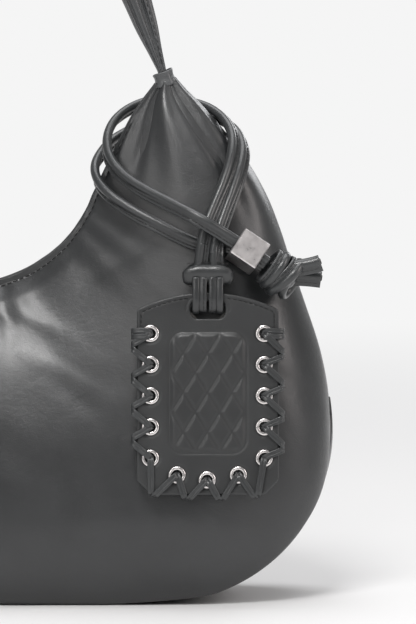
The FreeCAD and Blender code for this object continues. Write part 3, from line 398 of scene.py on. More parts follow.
class Mesh:
    """gathers many small closed shapes into one mesh"""

    def __init__(self):
        self.v, self.f = [], []

    def grid(self, pts, loop_u=False, loop_v=False, caps=False):
        pts = np.asarray(pts, float)
        nu, nv = pts.shape[:2]
        b = len(self.v)
        self.v.extend(map(tuple, pts.reshape(-1, 3)))
        self.f.extend(grid_faces(nu, nv, loop_u, loop_v, b))
        if caps:
            for i in (0, nu - 1):
                ring = [b + i * nv + j for j in range(nv)]
                c = len(self.v)
                self.v.append(tuple(pts[i].mean(0)))
                for j in range(nv):
                    self.f.append((ring[j], ring[(j + 1) % nv], c))

    def tube(self, path, radius, n=8, up=None, flat=1.0, taper=None, cap_round=True):
        """round or oval tube along a path; flat squeezes it along the frame's second direction"""
        path = np.asarray(path, float)
        T, A, B = frames(path, up)
        ang = np.linspace(0, 2 * np.pi, n, endpoint=False)
        rr = np.full(len(path), radius) if np.isscalar(radius) else np.asarray(radius, float)
        if taper is not None:
            rr = rr * taper
        ring = (A[:, None, :] * np.cos(ang)[None, :, None] + B[:, None, :] * (np.sin(ang) * flat)[None, :, None]) * rr[:, None, None]
        pts = path[:, None, :] + ring
        if cap_round:
            k = 0.55
            head = path[0] - T[0] * rr[0] * k + ring[0] * 0.62
            tail = path[-1] + T[-1] * rr[-1] * k + ring[-1] * 0.62
            pts = np.concatenate([head[None], pts, tail[None]])
        self.grid(pts, loop_v=True, caps=True)

    def build(self, name, mat, **kw):
        return make(name, self.v, self.f, mat, **kw)


def frames(path, up=None):
    """tangent, side and up vectors along a path without twist; up may be one vector or one for each point"""
    path = np.asarray(path, float)
    T = np.gradient(path, axis=0)
    T /= np.maximum(np.linalg.norm(T, axis=1, keepdims=True), 1e-12)
    n = len(path)
    B = np.zeros_like(T)
    if up is not None:
        U = np.broadcast_to(np.asarray(up, float), T.shape)
        B = U - (U * T).sum(1, keepdims=True) * T
        B /= np.maximum(np.linalg.norm(B, axis=1, keepdims=True), 1e-9)
    else:
        a = np.array([0, 0, 1.0]) if abs(T[0][2]) < 0.9 else np.array([1.0, 0, 0])
        b = a - a.dot(T[0]) * T[0]
        B[0] = b / np.linalg.norm(b)
        for i in range(1, n):
            b = B[i - 1] - B[i - 1].dot(T[i]) * T[i]
            B[i] = b / np.linalg.norm(b)
    A = np.cross(T, B)
    return T, A, B


def resample(path, step):
    path = np.asarray(path, float)
    s = np.concatenate([[0], np.cumsum(np.linalg.norm(np.diff(path, axis=0), axis=1))])
    n = max(2, int(round(s[-1] / step)) + 1)
    q = np.linspace(0, s[-1], n)
    return np.stack([np.interp(q, s, path[:, k]) for k in range(3)], 1)


def slab_mesh(outer, inner, rim=3):
    """closed sheet between two point grids whose four edges are rounded over"""
    outer, inner = np.asarray(outer, float), np.asarray(inner, float)
    nu, nv = outer.shape[:2]
    m = Mesh()
    m.v = list(map(tuple, outer.reshape(-1, 3))) + list(map(tuple, inner.reshape(-1, 3)))
    m.f = grid_faces(nu, nv) + grid_faces(nu, nv, base=nu * nv)
    ring = [(i, 0) for i in range(nu)] + [(nu - 1, j) for j in range(1, nv)] + \
           [(i, nv - 1) for i in range(nu - 2, -1, -1)] + [(0, j) for j in range(nv - 2, 0, -1)]
    cu, cv = nu // 2, nv // 2
    rows = []
    for i, j in ring:
        a, b = outer[i, j], inner[i, j]
        ii = min(max(i, 1), nu - 2) if i in (0, nu - 1) else i
        jj = min(max(j, 1), nv - 2) if j in (0, nv - 1) else j
        out = outer[i, j] - outer[ii, jj]
        L = np.linalg.norm(out)
        out = out / L if L > 1e-9 else out * 0
        h = np.linalg.norm(a - b) / 2
        rows.append([(a + b) / 2 + (a - b) / 2 * math.cos(math.pi * k / (rim + 1)) + out * h * math.sin(math.pi * k / (rim + 1))
                     for k in range(1, rim + 1)])
    base = len(m.v)
    for r in rows:
        m.v.extend(map(tuple, r))
    n = len(ring)
    for s in range(n):
        e = (s + 1) % n
        chain_s = [ring[s][0] * nv + ring[s][1]] + [base + s * rim + k for k in range(rim)] + [nu * nv + ring[s][0] * nv + ring[s][1]]
        chain_e = [ring[e][0] * nv + ring[e][1]] + [base + e * rim + k for k in range(rim)] + [nu * nv + ring[e][0] * nv + ring[e][1]]
        for k in range(rim + 1):
            m.f.append((chain_s[k], chain_e[k], chain_e[k + 1], chain_s[k + 1]))
    return m


def skin(node_name, mat):
    """a carried-over CAD node keeps its shape and gets this material"""
    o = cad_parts[node_name]
    o.data.materials.clear()
    o.data.materials.append(mat)

# ------------------------------------------------------------------ shell leather
def along(th, t, x0, z0, x1, z1):
    """how far a surface point lies along and from the line (x0,z0)-(x1,z1), in mm, in the front view"""
    p = raw(th, t)
    d = np.array([x1 - x0, z1 - z0], float)
    L = np.linalg.norm(d)
    d /= L
    px, pz = p[..., 0] - x0, p[..., 2] - z0
    return (px * d[0] + pz * d[1]) / L, -px * d[1] + pz * d[0]


RNG = np.random.RandomState(11)
WAVES = [(RNG.uniform(0.010, 0.026), RNG.uniform(0, 2 * np.pi), RNG.uniform(0, 2 * np.pi), RNG.uniform(0.25, 0.6)) for _ in range(14)]


def relief(th, t, side):
    """height in mm above the CAD's outer face: sag, pleats at the horns, ripples under the mouth, soft creases"""
    p = raw(th, t)
    X, Z = p[..., 0], p[..., 2]
    a = np.abs(th)
    h = np.zeros_like(X)
    # slow buckles all over
    for w, ph, dr, amp in WAVES:
        h += amp * 0.30 * np.sin((X * math.cos(dr) + Z * math.sin(dr) * 1.2) * w * 2.2 + ph + side) * smooth(0.02, 0.14, t) * smooth(1.0, 0.88, t)
    # gathered horn: pleats fan out from the collar
    r, y = section(th, t)
    up = smooth(58, 104, a)
    fan = (t - 0.5)
    pl = np.cos(fan * 2 * np.pi * 3.0) * 0.75 + 0.25 * np.cos(fan * 2 * np.pi * 6.0 + 0.8)
    h += 1.25 * pl * up * smooth(0.03, 0.14, t) * smooth(0.99, 0.88, t) * (1 - 0.45 * smooth(100, 107, a))
    valley = bell(t, 0.335 - 0.05 * smooth(105, 78, a), 0.035) + bell(t, 0.66 + 0.06 * smooth(105, 78, a), 0.035)
    h -= 1.5 * valley * smooth(70, 96, a)
    # ripples below the mouth edge, running down and outward
    rip = np.sin(np.radians(th) * 31 + 2.2 * np.sin(np.radians(th) * 7 + side) + t * 5)
    h += 0.34 * rip * bell(t, 0.17, 0.13) * smooth(86, 60, a)
    # dents: soft hollows where the leather has folded
    for x0, z0, x1, z1, wd, dp in DENTS[side]:
        u, v = along(th, t, x0, z0, x1, z1)
        h -= 0.62 * dp * bell(v, 0, wd) * smooth(-0.15, 0.25, u) * smooth(1.15, 0.75, u)
        h += dp * 0.26 * bell(v, wd * 2.0, wd * 1.1) * smooth(-0.15, 0.25, u) * smooth(1.15, 0.75, u)
    # tuck at the gusset's end
    g = tab(TAB_TH, TAB_G, a)
    h -= 0.8 * bell(a, 53.5, 4.5) * smooth(0.86, 1.0, t)
    h += 0.9 * bell(a, 46.0, 5.0) * smooth(0.72, 0.93, t) * smooth(1.0, 0.97, t)
    return h


DENTS = {
    -1: [(30, 150, 88, 118, 5.0, 0.8), (46, 128, 98, 92, 6.5, 0.9), (-20, 118, 52, 70, 7.5, 0.8), (5, 168, 62, 140, 4.0, 0.55),
         (60, 172, 118, 205, 5.0, 0.6), (118, 60, 176, 100, 9, 0.8), (-140, 150, -70, 96, 8, 1.1), (-150, 205, -110, 150, 6, 0.8),
         (-60, 60, 20, 40, 10, 0.9), (60, 36, 150, 30, 8, 0.6), (160, 150, 176, 210, 6, 0.7), (20, 96, 30, 60, 6, 0.5)],
    1: [(-30, 150, -98, 108, 6.0, 0.9), (-10, 118, 72, 70, 8.5, 1.0), (60, 172, 120, 130, 6.0, 0.9), (118, 60, 176, 100, 9, 0.9),
        (-140, 150, -70, 96, 8, 1.0), (-150, 205, -110, 150, 6, 0.8), (-60, 60, 20, 40, 10, 0.9), (60, 36, 150, 30, 8, 0.7)],
}
STITCH_T = 3.3       # stitch line, mm from the mouth edge along the leather


def t_at(th, dist):
    """t at a distance in mm from the mouth edge along the section"""
    ts = np.linspace(0, 0.4, 240)
    out = []
    for a in np.atleast_1d(th):
        p = raw(np.full_like(ts, a), ts)
        s = np.concatenate([[0], np.cumsum(np.linalg.norm(np.diff(p, axis=0), axis=1))])
        out.append(np.interp(dist, s, ts))
    return np.array(out)


_tq = np.linspace(-END, END, 87)
_ts = t_at(_tq, STITCH_T)
_te = t_at(_tq, 1.0)


def outer_point(th, t, side, extra=0.0):
    n = normals(th, t)
    h = relief(th, t, side)
    ts = np.interp(th, _tq, _ts)
    te = np.interp(th, _tq, _te)
    # stitched hem: a shallow channel along the stitch line with a plump fold above it
    h = h - 0.42 * bell(t, ts, 0.16 * ts) * smooth(104, 98, np.abs(th)) + 0.22 * bell(t, ts * 0.45, 0.35 * ts)
    seat = np.where(np.abs(th) < 24, smooth(0.975, 0.999, t), 0)
    p = raw(th, t) + n * (h * (1 - seat) + extra)[..., None]
    p[..., 1] = np.maximum(p[..., 1], 0.16)
    p[..., 2] = np.maximum(p[..., 2], 0.0)
    return p


def sided(p, side):
    q = p.copy()
    q[..., 1] *= side
    return q


TS_ = np.concatenate([np.linspace(0, 0.07, 16)[:-1], np.linspace(0.07, 1.0, 96)])
for nm, side in (("front", -1), ("back", 1)):
    ths = np.linspace(-END, END, 431)
    TH, TT = np.meshgrid(ths, TS_, indexing="ij")
    outer = outer_point(TH, TT, side)
    n = normals(TH, TT)
    inner = raw(TH, TT) - n * 1.55
    inner[..., 1] = np.maximum(inner[..., 1], 0.12)
    inner[..., 2] = np.maximum(inner[..., 2], 0.3)
    m = slab_mesh(sided(outer, side), sided(inner, side), 3)
    m.build("shell_" + nm, SHELL, replaces=(nm + "_panel",))
    # stitches along the mouth
    st = Mesh()
    ths = []
    a = -98.0
    while a < 98.0:
        ths.append(a)
        a += math.degrees(3.5 / (float(rin(a)) + 1.0))
    ths = np.array(ths)
    ln = np.degrees(1.15 / rin(ths))
    pts = []
    for k in (-1, -0.55, 0, 0.55, 1):
        tt = np.interp(ths + ln * k, _tq, _ts)
        lift = (0.30, 0.52, 0.60, 0.52, 0.30)[int(round((k + 1) * 2)) if k in (-1, 0, 1) else (1 if k < 0 else 3)] - 0.42
        pts.append(sided(outer_point(ths + ln * k, tt, side, lift + 0.12), side))
    pts = np.stack(pts, 1)
    for row in pts:
        st.tube(row, 0.30, 6)
    st.build("shell_%s_stitches" % nm, THREAD)
    # facing inside the mouth, a turned leather strip
    ths = np.linspace(-86, 86, 261)
    TH, TT = np.meshgrid(ths, np.linspace(0.0, 0.21, 14), indexing="ij")
    base, n = raw(TH, TT), normals(TH, TT)
    ripple = 0.10 * np.sin(np.radians(TH) * 60 + TT * 9)[..., None]
    slab_mesh(sided(base - n * (1.85 + ripple * 0.3), side), sided(base - n * (2.35 + ripple * 0.3), side), 3).build(
        "facing_" + nm, SHELL, replaces=("mouth_facing_" + nm,))
    # lining, gathered a little under the facing
    ths = np.linspace(-94, 94, 301)
    TH, TT = np.meshgrid(ths, np.linspace(0.235, 0.93, 60), indexing="ij")
    base, n = raw(TH, TT), normals(TH, TT)
    pucker = (0.45 * np.sin(np.radians(TH) * 70 + 3 * np.sin(TT * 8)) * smooth(0.5, 0.25, TT) + 0.5 * np.sin(np.radians(TH) * 17 + TT * 11 + side) * smooth(0.25, 0.5, TT)) \
        * smooth(0.235, 0.27, TT) * smooth(0.93, 0.86, TT)
    lo = base - n * (3.3 + np.maximum(pucker, -0.3) * 0.0)[..., None]
    hi = base - n * (3.95 + np.maximum(pucker, -0.25))[..., None]
    for arr in (lo, hi):
        arr[..., 1] = np.maximum(arr[..., 1], 0.1)
    o = slab_mesh(sided(lo, side), sided(hi, side), 2).build("lining_" + nm, LINING, slot="lining_fabric", replaces=(nm + "_lining",))

# ------------------------------------------------------------------ cords: route points in metres, as the CAD has them
PTS_INNER = [
    (0.13390, -0.04530, 0.19377), (0.13490, -0.04500, 0.20275), (0.13800, -0.04280, 0.21180), (0.14220, -0.03700, 0.22179),
    (0.14660, -0.03160, 0.23201), (0.14990, -0.02560, 0.24159), (0.15190, -0.01780, 0.25105), (0.15140, -0.00920, 0.25944),
    (0.14740, -0.00060, 0.26664), (0.14040, 0.00740, 0.27188), (0.13140, 0.01420, 0.27521), (0.12060, 0.01800, 0.27714),
    (0.10900, 0.01860, 0.27710), (0.09800, 0.01540, 0.27412), (0.08860, 0.00820, 0.26883), (0.08220, -0.00060, 0.26144),
    (0.08040, -0.00960, 0.25247), (0.08280, -0.01720, 0.24410), (0.08880, -0.02300, 0.23691), (0.09660, -0.02840, 0.23139),
    (0.10520, -0.03380, 0.22677), (0.11390, -0.03940, 0.22246), (0.12260, -0.04480, 0.21834), (0.13120, -0.04960, 0.21427),
    (0.13960, -0.05100, 0.20917), (0.14981, -0.04785, 0.20288), (0.17037, -0.04785, 0.18902)]
PTS_OUTER = [
    (0.14130, -0.04540, 0.19378), (0.14240, -0.04440, 0.20271), (0.14580, -0.04040, 0.21203), (0.14960, -0.03500, 0.22225),
    (0.15340, -0.02900, 0.23223), (0.15640, -0.02120, 0.24188), (0.15780, -0.01180, 0.25083), (0.15520, -0.00200, 0.25874),
    (0.14880, 0.00800, 0.26384), (0.13940, 0.01700, 0.26621), (0.12780, 0.02360, 0.26655), (0.11540, 0.02660, 0.26574),
    (0.10320, 0.02660, 0.26314), (0.09200, 0.02220, 0.25885), (0.08340, 0.01360, 0.25345), (0.07760, 0.00320, 0.24698),
    (0.07400, -0.00820, 0.23977), (0.07580, -0.01700, 0.23219), (0.08160, -0.02360, 0.22585), (0.08980, -0.02800, 0.22016),
    (0.09940, -0.03240, 0.21467), (0.11000, -0.03540, 0.20928), (0.12040, -0.03740, 0.20402), (0.13060, -0.03770, 0.19944),
    (0.14040, -0.03750, 0.19703), (0.15047, -0.04175, 0.19975), (0.16913, -0.04175, 0.18717)]


def spline_line(points, name):
    """points read from the route's NURBS spline, in mm"""
    cu = bpy.data.curves.new(name, "CURVE")
    cu.dimensions = "3D"
    cu.resolution_u = 14
    sp = cu.splines.new("NURBS")
    sp.points.add(len(points) - 1)
    for k, p in enumerate(points):
        sp.points[k].co = (p[0], p[1], p[2], 1.0)
    sp.order_u = 3
    sp.use_endpoint_u = True
    ob = bpy.data.objects.new(name, cu)
    bpy.context.scene.collection.objects.link(ob)
    bpy.context.view_layer.update()
    me = bpy.data.meshes.new_from_object(ob)
    line = np.array([v.co for v in me.vertices], float)
    bpy.data.objects.remove(ob)
    bpy.data.meshes.remove(me)
    return line


def piped(line, ups, roll_r, side, fl_w, fl_t, name, mat, exit_pt, far, with_pieces=(), reach=1.0):
    """a piped leather strand: a round roll with a flat stitched flange along one side. line in mm."""
    path = resample(line * 1000.0, 1.0)
    s = np.linspace(0, 1, len(path))
    U = np.stack([np.interp(s, [u[0] for u in ups], [u[1][k] for u in ups]) for k in range(3)], 1)
    T, A, B = frames(path, U)
    off = 0.9 * side
    # section in the (A, B) plane: roll of radius roll_r with a flange along A
    prof = []
    a0 = math.radians(32)
    for k in range(19):
        q = a0 + (2 * math.pi - 2 * a0) * k / 18
        prof.append((math.cos(q) * roll_r, math.sin(q) * roll_r))
    x1 = roll_r + fl_w
    prof += [(roll_r * 1.02, -fl_t * 0.62), (roll_r + fl_w * 0.5, -fl_t * 0.5), (x1 - 0.25, -fl_t * 0.5), (x1, -fl_t * 0.25),
             (x1, fl_t * 0.25), (x1 - 0.25, fl_t * 0.5), (roll_r + fl_w * 0.5, fl_t * 0.5), (roll_r * 1.02, fl_t * 0.62)]
    prof = np.array(prof) - np.array([off * side, 0])
    prof[:, 0] *= side
    if side < 0:
        prof = prof[::-1]
    wob = 1 + 0.012 * np.sin(s * 97) + 0.010 * np.sin(s * 41 + 1)
    pts = path[:, None, :] + (A[:, None, :] * prof[None, :, 0, None] + B[:, None, :] * prof[None, :, 1, None]) * wob[:, None, None]
    m = Mesh()
    m.grid(pts, loop_v=True, caps=True)
    o = m.build(name, mat, slot="cord_leather")
    # stitches in the flange, on both faces
    st = Mesh()
    xs = (roll_r + fl_w * 0.42 - off * side) * side if side > 0 else -(roll_r + fl_w * 0.42) - off * side * side * -1
    xs = side * (roll_r + fl_w * 0.42) - off
    if side < 0:
        xs = -(roll_r + fl_w * 0.42) + off
    acc, i = 0.0, 2
    while i + 2 < len(path) - 2:
        for sg in (1, -1):
            seg = path[i:i + 2] + A[i:i + 2] * xs + B[i:i + 2] * sg * (fl_t * 0.5 + 0.04)
            seg = np.stack([seg[0], (seg[0] + seg[1]) / 2 + B[i] * sg * 0.10, seg[1] + (seg[1] - seg[0]) * 0.35])
            st.tube(seg, 0.25, 6, cap_round=True)
        i += 2 if (i // 2) % 5 else 3
    so = st.build(name + "_stitches", THREAD, slot="cord_leather")
    return o, so, path



# the two strands, each a roll with a stitched flange
def at(p):
    return tuple(c * MM for c in p)


UPS_IN = [(0.0, (0, -1, 0.1)), (0.08, (0, -1, 0.3)), (0.25, (0.55, -0.6, 0.5)), (0.42, (0.2, 0.3, 1)), (0.5, (0, 0.9, 0.6)),
          (0.62, (-0.75, -0.15, 0.5)), (0.70, (-0.6, -0.8, 0.1)), (0.78, (-0.2, -1, 0.4)), (0.92, (-0.1, -1, 0.3)), (1.0, (0, -1, 0.1))]
UPS_OUT = [(0.0, (0, -1, 0.1)), (0.08, (0, -1, 0.3)), (0.25, (0.7, -0.5, 0.4)), (0.42, (0.4, 0.5, 0.9)), (0.55, (0, 1, 0.3)),
           (0.68, (-0.8, -0.1, 0.3)), (0.74, (-0.6, -0.8, 0.1)), (0.80, (-0.2, -1, 0.4)), (0.92, (-0.1, -1, 0.3)), (1.0, (0, -1, 0.1))]
LINE_IN = spline_line(PTS_INNER, "route_inner")
LINE_OUT = spline_line(PTS_OUTER, "route_outer")
strand_in, stitch_in, path_in = piped(LINE_IN, UPS_IN, 2.55, 1, 2.5, 1.25, "cord_inner", CORDL, PTS_INNER[0], "knot")
strand_out, stitch_out, path_out = piped(LINE_OUT, UPS_OUT, 2.55, 1, 2.5, 1.25, "cord_outer", CORDL, PTS_OUTER[0], "knot")
# the strands' roots: from inside each strand's end down into the crossbar, bending between the two
RT, RS = Mesh(), Mesh()
for p0, p1, up0, to in ((path_in[0], path_in[6], (0, -1, 0.1), (132.6, -45.4, 184.5)), (path_out[0], path_out[6], (0, -1, 0.1), (141.9, -45.5, 184.5))):
    ctrl = np.array([p1 + (p1 - p0) * 0.0, p0, (p0 + np.array(to)) / 2 + np.array([0, -0.3, 0]), np.array(to)])
    q = np.linspace(0, 1, 26)[:, None]
    root_path = ctrl[0] * (1 - q) ** 3 + 3 * ctrl[1] * q * (1 - q) ** 2 + 3 * ctrl[2] * q * q * (1 - q) + ctrl[3] * q ** 3
    root_path = root_path[::-1]
    T, A, B = frames(root_path, np.array(up0, float))
    ang_ = np.linspace(math.radians(32), 2 * math.pi - math.radians(32), 19)
    prof = [(math.cos(k) * 2.62 - 0.9, math.sin(k) * 2.62) for k in ang_] + [(1.75, -0.82), (3.0, -0.68), (3.95, -0.66), (4.22, -0.34), (4.22, 0.34), (3.95, 0.66), (3.0, 0.68), (1.75, 0.82)]
    prof = np.array(prof)
    RT.grid(root_path[:, None, :] + A[:, None, :] * prof[None, :, 0, None] + B[:, None, :] * prof[None, :, 1, None], loop_v=True, caps=True)
    for i in range(2, len(root_path) - 4, 4):
        RS.tube(root_path[i:i + 3] + A[i:i + 3] * 2.72 + B[i:i + 3] * 0.72, 0.24, 6)
roots = RT.build("cord_roots", CORDL, body=None, slot="cord_leather")
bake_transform(roots)
roots_st = RS.build("cord_root_stitches", THREAD, body=None, slot="cord_leather")
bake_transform(roots_st)
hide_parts("cord_strand_inner")
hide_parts("cord_strand_outer")


# knot beyond the bead: the doubled cord wound round itself in crossing stitched bands
BEAD_C = np.array([159.3, -44.8, 195.14])
BEAD_D = np.array([0.82911, 0.0, -0.55908])
BEAD_N = np.array([0.55908, 0.0, 0.82911])
YV = np.array([0.0, 1.0, 0.0])
KC = BEAD_C + BEAD_D * (12.6 + 9.89)


def band(center, axis_u, axis_v, ru, rv, lean, q0, q1, w, thick, bulge=1.0, drift=0.0, n=60, fl=True):
    """one wrapped turn: a half-round band on an oval about center; lean shifts it along the cord over the turn"""
    q = np.radians(np.linspace(q0, q1, n))
    ctr = center + np.outer(np.cos(q), axis_u) * ru + np.outer(np.sin(q), axis_v) * rv + np.outer(np.sin(q + lean[1]) * lean[0] + drift * np.linspace(-0.5, 0.5, n), BEAD_D)
    outw = np.outer(np.cos(q), axis_u) / ru + np.outer(np.sin(q), axis_v) / rv
    outw /= np.linalg.norm(outw, axis=1, keepdims=True)
    T, A, B = frames(ctr, outw)
    prof = []
    h = w / 2
    for k in range(15):
        x = -h + (w * 0.66) * k / 14
        u = (x + h) / (w * 0.66) * 2 - 1
        prof.append((x, thick * bulge * math.sqrt(max(0, 1 - u * u * 0.96))))
    prof += [(-h + w * 0.68, thick * 0.42), (-h + w * 0.74, thick * 0.40), (-h + w * 0.9, thick * 0.40), (h - 0.15, thick * 0.36), (h, thick * 0.15), (h, -thick * 0.4),
             (h * 0.6, -thick * 0.6), (0, -thick * 0.75), (-h * 0.7, -thick * 0.6), (-h, -thick * 0.1)]
    prof = np.array(prof)
    ends = np.ones(n)
    pts = ctr[:, None, :] + A[:, None, :] * prof[None, :, 0, None] + B[:, None, :] * (prof[None, :, 1, None] * ends[:, None, None])
    KN.grid(pts, loop_v=True, caps=True)
    if fl:
        path = ctr + A * (h * 0.62) + B * (thick * 0.42)
        s = np.concatenate([[0], np.cumsum(np.linalg.norm(np.diff(path, axis=0), axis=1))])
        for d in np.arange(1.4, s[-1] - 1.4, 2.6):
            seg = np.stack([np.array([np.interp(d + e, s, path[:, k]) for k in range(3)]) for e in (-0.75, 0, 0.75)])
            KS.tube(seg, 0.22, 6)


KN, KS = Mesh(), Mesh()
# a core that fills the middle, then the turns seen from the front
core_q = np.linspace(0, 2 * np.pi, 28, endpoint=False)
rows = []
for k in range(15):
    u = -1 + 2 * k / 14
    rr = math.sqrt(max(0.06, 1 - abs(u) ** 2.6))
    c = KC + BEAD_D * (u * 8.6)
    rows.append([c + BEAD_N * (math.cos(a) * 8.4 * rr) + YV * (math.sin(a) * 6.6 * rr) for a in core_q])
KN.grid(rows, loop_v=True, caps=True)
band(KC - BEAD_D * 5.6, BEAD_N, -YV, 10.0, 7.8, (1.4, 0.4), 0, 360, 7.6, 2.4)
band(KC + BEAD_D * 0.6, BEAD_N, -YV, 10.9, 8.3, (3.2, 0.9), -60, 300, 8.2, 2.6, drift=-1.2)
band(KC + BEAD_D * 5.4, BEAD_N, -YV, 9.3, 7.4, (-2.2, 0.2), 0, 360, 6.8, 2.3)
knot = KN.build("knot_turns", CORDL, slot="cord_leather", replaces=("cord_knot",))
knot_st = KS.build("knot_stitches", THREAD, slot="cord_leather")

# tails: two strand ends with cut faces that show the roll's core
TLM, TLS, TLE = Mesh(), Mesh(), Mesh()
KM = BEAD_C + BEAD_D * (12.6 + 9.89)
for dy, dz, up_, rise in ((-3.4, 2.6, 0.24, 1.2), (3.4, -3.0, -0.10, -0.6)):
    d = np.array([1.0, 0.0, up_])
    d /= np.linalg.norm(d)
    base = KM + np.array([7.4, dy, dz + 1.0])
    nrm = np.cross(d, YV)
    ctrl = np.array([base - d * 2.0, base + d * 4.0 + nrm * -0.5 * rise, base + d * 9.0 + nrm * -0.9 * rise, base + d * 14.3 + nrm * -0.4 * rise])
    path = resample(np.array([ctrl[0] * (1 - q) ** 3 + 3 * ctrl[1] * q * (1 - q) ** 2 + 3 * ctrl[2] * q * q * (1 - q) + ctrl[3] * q ** 3 for q in np.linspace(0, 1, 30)]), 0.8)
    T, A, B = frames(path, np.array([0.1, -1.0, 0.25]))
    q = np.linspace(0.5, 2 * np.pi - 0.5, 19)
    prof = [(math.cos(a) * 3.1 - 1.2, math.sin(a) * 3.1) for a in q] + [(2.2, -0.75), (3.6, -0.62), (4.0, -0.3), (4.0, 0.3), (3.6, 0.62), (2.2, 0.75)]
    prof = np.array(prof) * 1.12
    TLM.grid(path[:, None, :] + A[:, None, :] * prof[None, :, 0, None] + B[:, None, :] * prof[None, :, 1, None], loop_v=True, caps=True)
    for i in range(3, len(path) - 3, 3):
        TLS.tube(path[i:i + 3] + A[i:i + 3] * 2.5 + B[i:i + 3] * 0.72, 0.2, 6)
    # core ring at the cut end, in matte edge leather
    e = path[-1] + T[-1] * 0.25
    ring = [[e + T[-1] * h + A[-1] * (math.cos(a) * r - 1.1) + B[-1] * math.sin(a) * r for a in np.linspace(0, 2 * np.pi, 20, endpoint=False)] for r, h in ((1.7, -0.5), (1.7, 0.05), (1.2, 0.3), (0.3, 0.22))]
    TLE.grid(ring, loop_v=True, caps=True)
tails = TLM.build("cord_tail_ends", CORDL, slot="cord_leather", replaces=("cord_tails",))
tails_st = TLS.build("cord_tail_stitches", THREAD, slot="cord_leather")
tails_ct = TLE.build("cord_tail_cores", EDGE, slot="cord_leather")

# bead: the CAD cube, in satin nickel
skin("cube_bead", SATIN)

# ------------------------------------------------------------------ hitch and tag, in the tag's own frame
TILT = math.radians(-8.0)
TAG_P = np.array([137.4, -46.5, 170.25])


def tagw(p):
    """tag frame (mm) to the row frame (mm); p is an array of (x across, y through, z up)"""
    p = np.asarray(p, float)
    c, s = math.cos(TILT), math.sin(TILT)
    x, y, z = p[..., 0], p[..., 1], p[..., 2]
    return np.stack([x, y * c - z * s, y * s + z * c], -1) + TAG_P


# crossbar: a plump pillow, narrower and pinched along its stitched top seam
rows = []
HB = 14.0
for i in range(57):
    u = -1 + 2 * i / 56
    e = math.sqrt(max(0.0, 1 - abs(u) ** 5))
    x = u * HB
    row = []
    for k in range(48):
        q = 2 * math.pi * k / 48
        cy, cz = math.cos(q), math.sin(q)
        rz = 5.6 if cz > 0 else 7.2
        rr = (0.35 + 0.65 * e)
        taper = 1 - 0.17 * abs(u) ** 2 * max(0, cz) + 0.10 * abs(u) ** 3 * max(0, -cz)
        y = cy * 5.5 * rr * (1 + 0.05 * math.cos(2 * q))
        z = 14 + cz * rz * rr * taper - 0.7 * abs(u) ** 2.2 + 0.12 * math.sin(9 * u + 2 * cy)
        pinch = math.exp(-((cz - 0.80) / 0.10) ** 2) * 0.42 * (1 if cy < 0 else 0.6)
        y *= 1 - pinch * 0.14
        z -= pinch * 0.7
        if cz < -0.55:
            z += 0.5 * (abs(cz) - 0.55) * math.cos(u * 2.2)
        row.append((x * (1 - 0.15 * max(0, cz) ** 1.5), y, z))
    rows.append(row)
m = Mesh()
m.grid(tagw(rows), loop_v=True, caps=True)
bar = m.build("crossbar", CORDL, body="hitch", slot="cord_leather", replaces=("hitch_crossbar",))
ms = Mesh()
for i in range(10):
    x = -10.6 + i * 2.36
    seg = [(x + d, -3.62 - 0.12 * (1 - (x / 12) ** 2), 14 + 4.52 - 0.7 * (abs(x + d) / HB) ** 2.2 + 0.14) for d in (-0.75, 0, 0.75)]
    ms.tube(tagw(seg), 0.23, 6)
bar_st = ms.build("crossbar_stitches", THREAD, body="hitch", slot="cord_leather")

# legs: two piped strips that come out under the crossbar, turn through the slot and go back up behind the tag
m, ms, mb = Mesh(), Mesh(), Mesh()
for cx, sg in ((-4.55, -1), (4.55, 1)):
    line = []
    ri = 3.6 + 1.2
    for z in np.linspace(10.6, 0.0, 12)[:-1]:
        line.append((0, -ri - 0.15 * math.sin(z * 0.5), z))
    for q in np.linspace(0, math.pi, 25):
        line.append((0, -ri * math.cos(q), -8.3 * math.sin(q)))
    for z in np.linspace(0.0, 10.6, 12)[1:]:
        line.append((0, ri, z))
    line = np.array(line)
    T, A, B = frames(line, np.array([[0, p[1], min(p[2], 0)] for p in line]))
    # across the strip: roll on the outer side, stitched flange on the inner side
    prof = []
    for k in range(15):
        q = math.pi * k / 14
        prof.append((sg * (2.0 + 1.95 * math.cos(q)), 1.15 * math.sin(q) ** 0.7))
    prof += [(sg * -0.4, 0.52), (sg * -2.4, 0.50), (sg * -3.7, 0.45), (sg * -3.95, 0.1), (sg * -3.9, -0.8), (sg * -2.0, -0.95), (0, -1.0), (sg * 2.2, -1.08), (sg * 3.6, -0.8), (sg * 3.95, -0.3)]
    prof = np.array(prof)
    X = np.array([1.0, 0, 0])
    wid = 1 + 0.02 * np.sin(np.arange(len(line)) * 0.7)
    pts = line[:, None, :] + X * (cx + prof[None, :, 0, None] * wid[:, None, None]) + B[:, None, :] * prof[None, :, 1, None]
    m.grid(tagw(pts), loop_v=True, caps=True)
    s = np.concatenate([[0], np.cumsum(np.linalg.norm(np.diff(line, axis=0), axis=1))])
    for d in np.arange(1.6, s[-1] - 1.2, 2.5):
        seg = []
        for e in (-0.75, 0, 0.75):
            p = np.array([np.interp(d + e, s, line[:, k]) for k in range(3)])
            b = np.array([np.interp(d + e, s, B[:, k]) for k in range(3)])
            seg.append(p + b * 0.62 + X * (cx - sg * 2.3))
        ms.tube(tagw(seg), 0.22, 6)
legs = m.build("hitch_straps", CORDL, body="hitch", slot="cord_leather", replaces=("hitch_legs",))
legs_st = ms.build("hitch_strap_stitches", THREAD, body="hitch", slot="cord_leather")

# tag sheets: outline with an arched top, clipped lower corners, a slot and eyelet holes, built as a fine height field
EYES = [(-31.45, -20.2 - 17.1 * k) for k in range(5)] + [(30.9, -20.2 - 17.1 * k) for k in range(5)] + [(-16.85, -97.8), (-0.35, -100.5), (16.7, -97.8)]


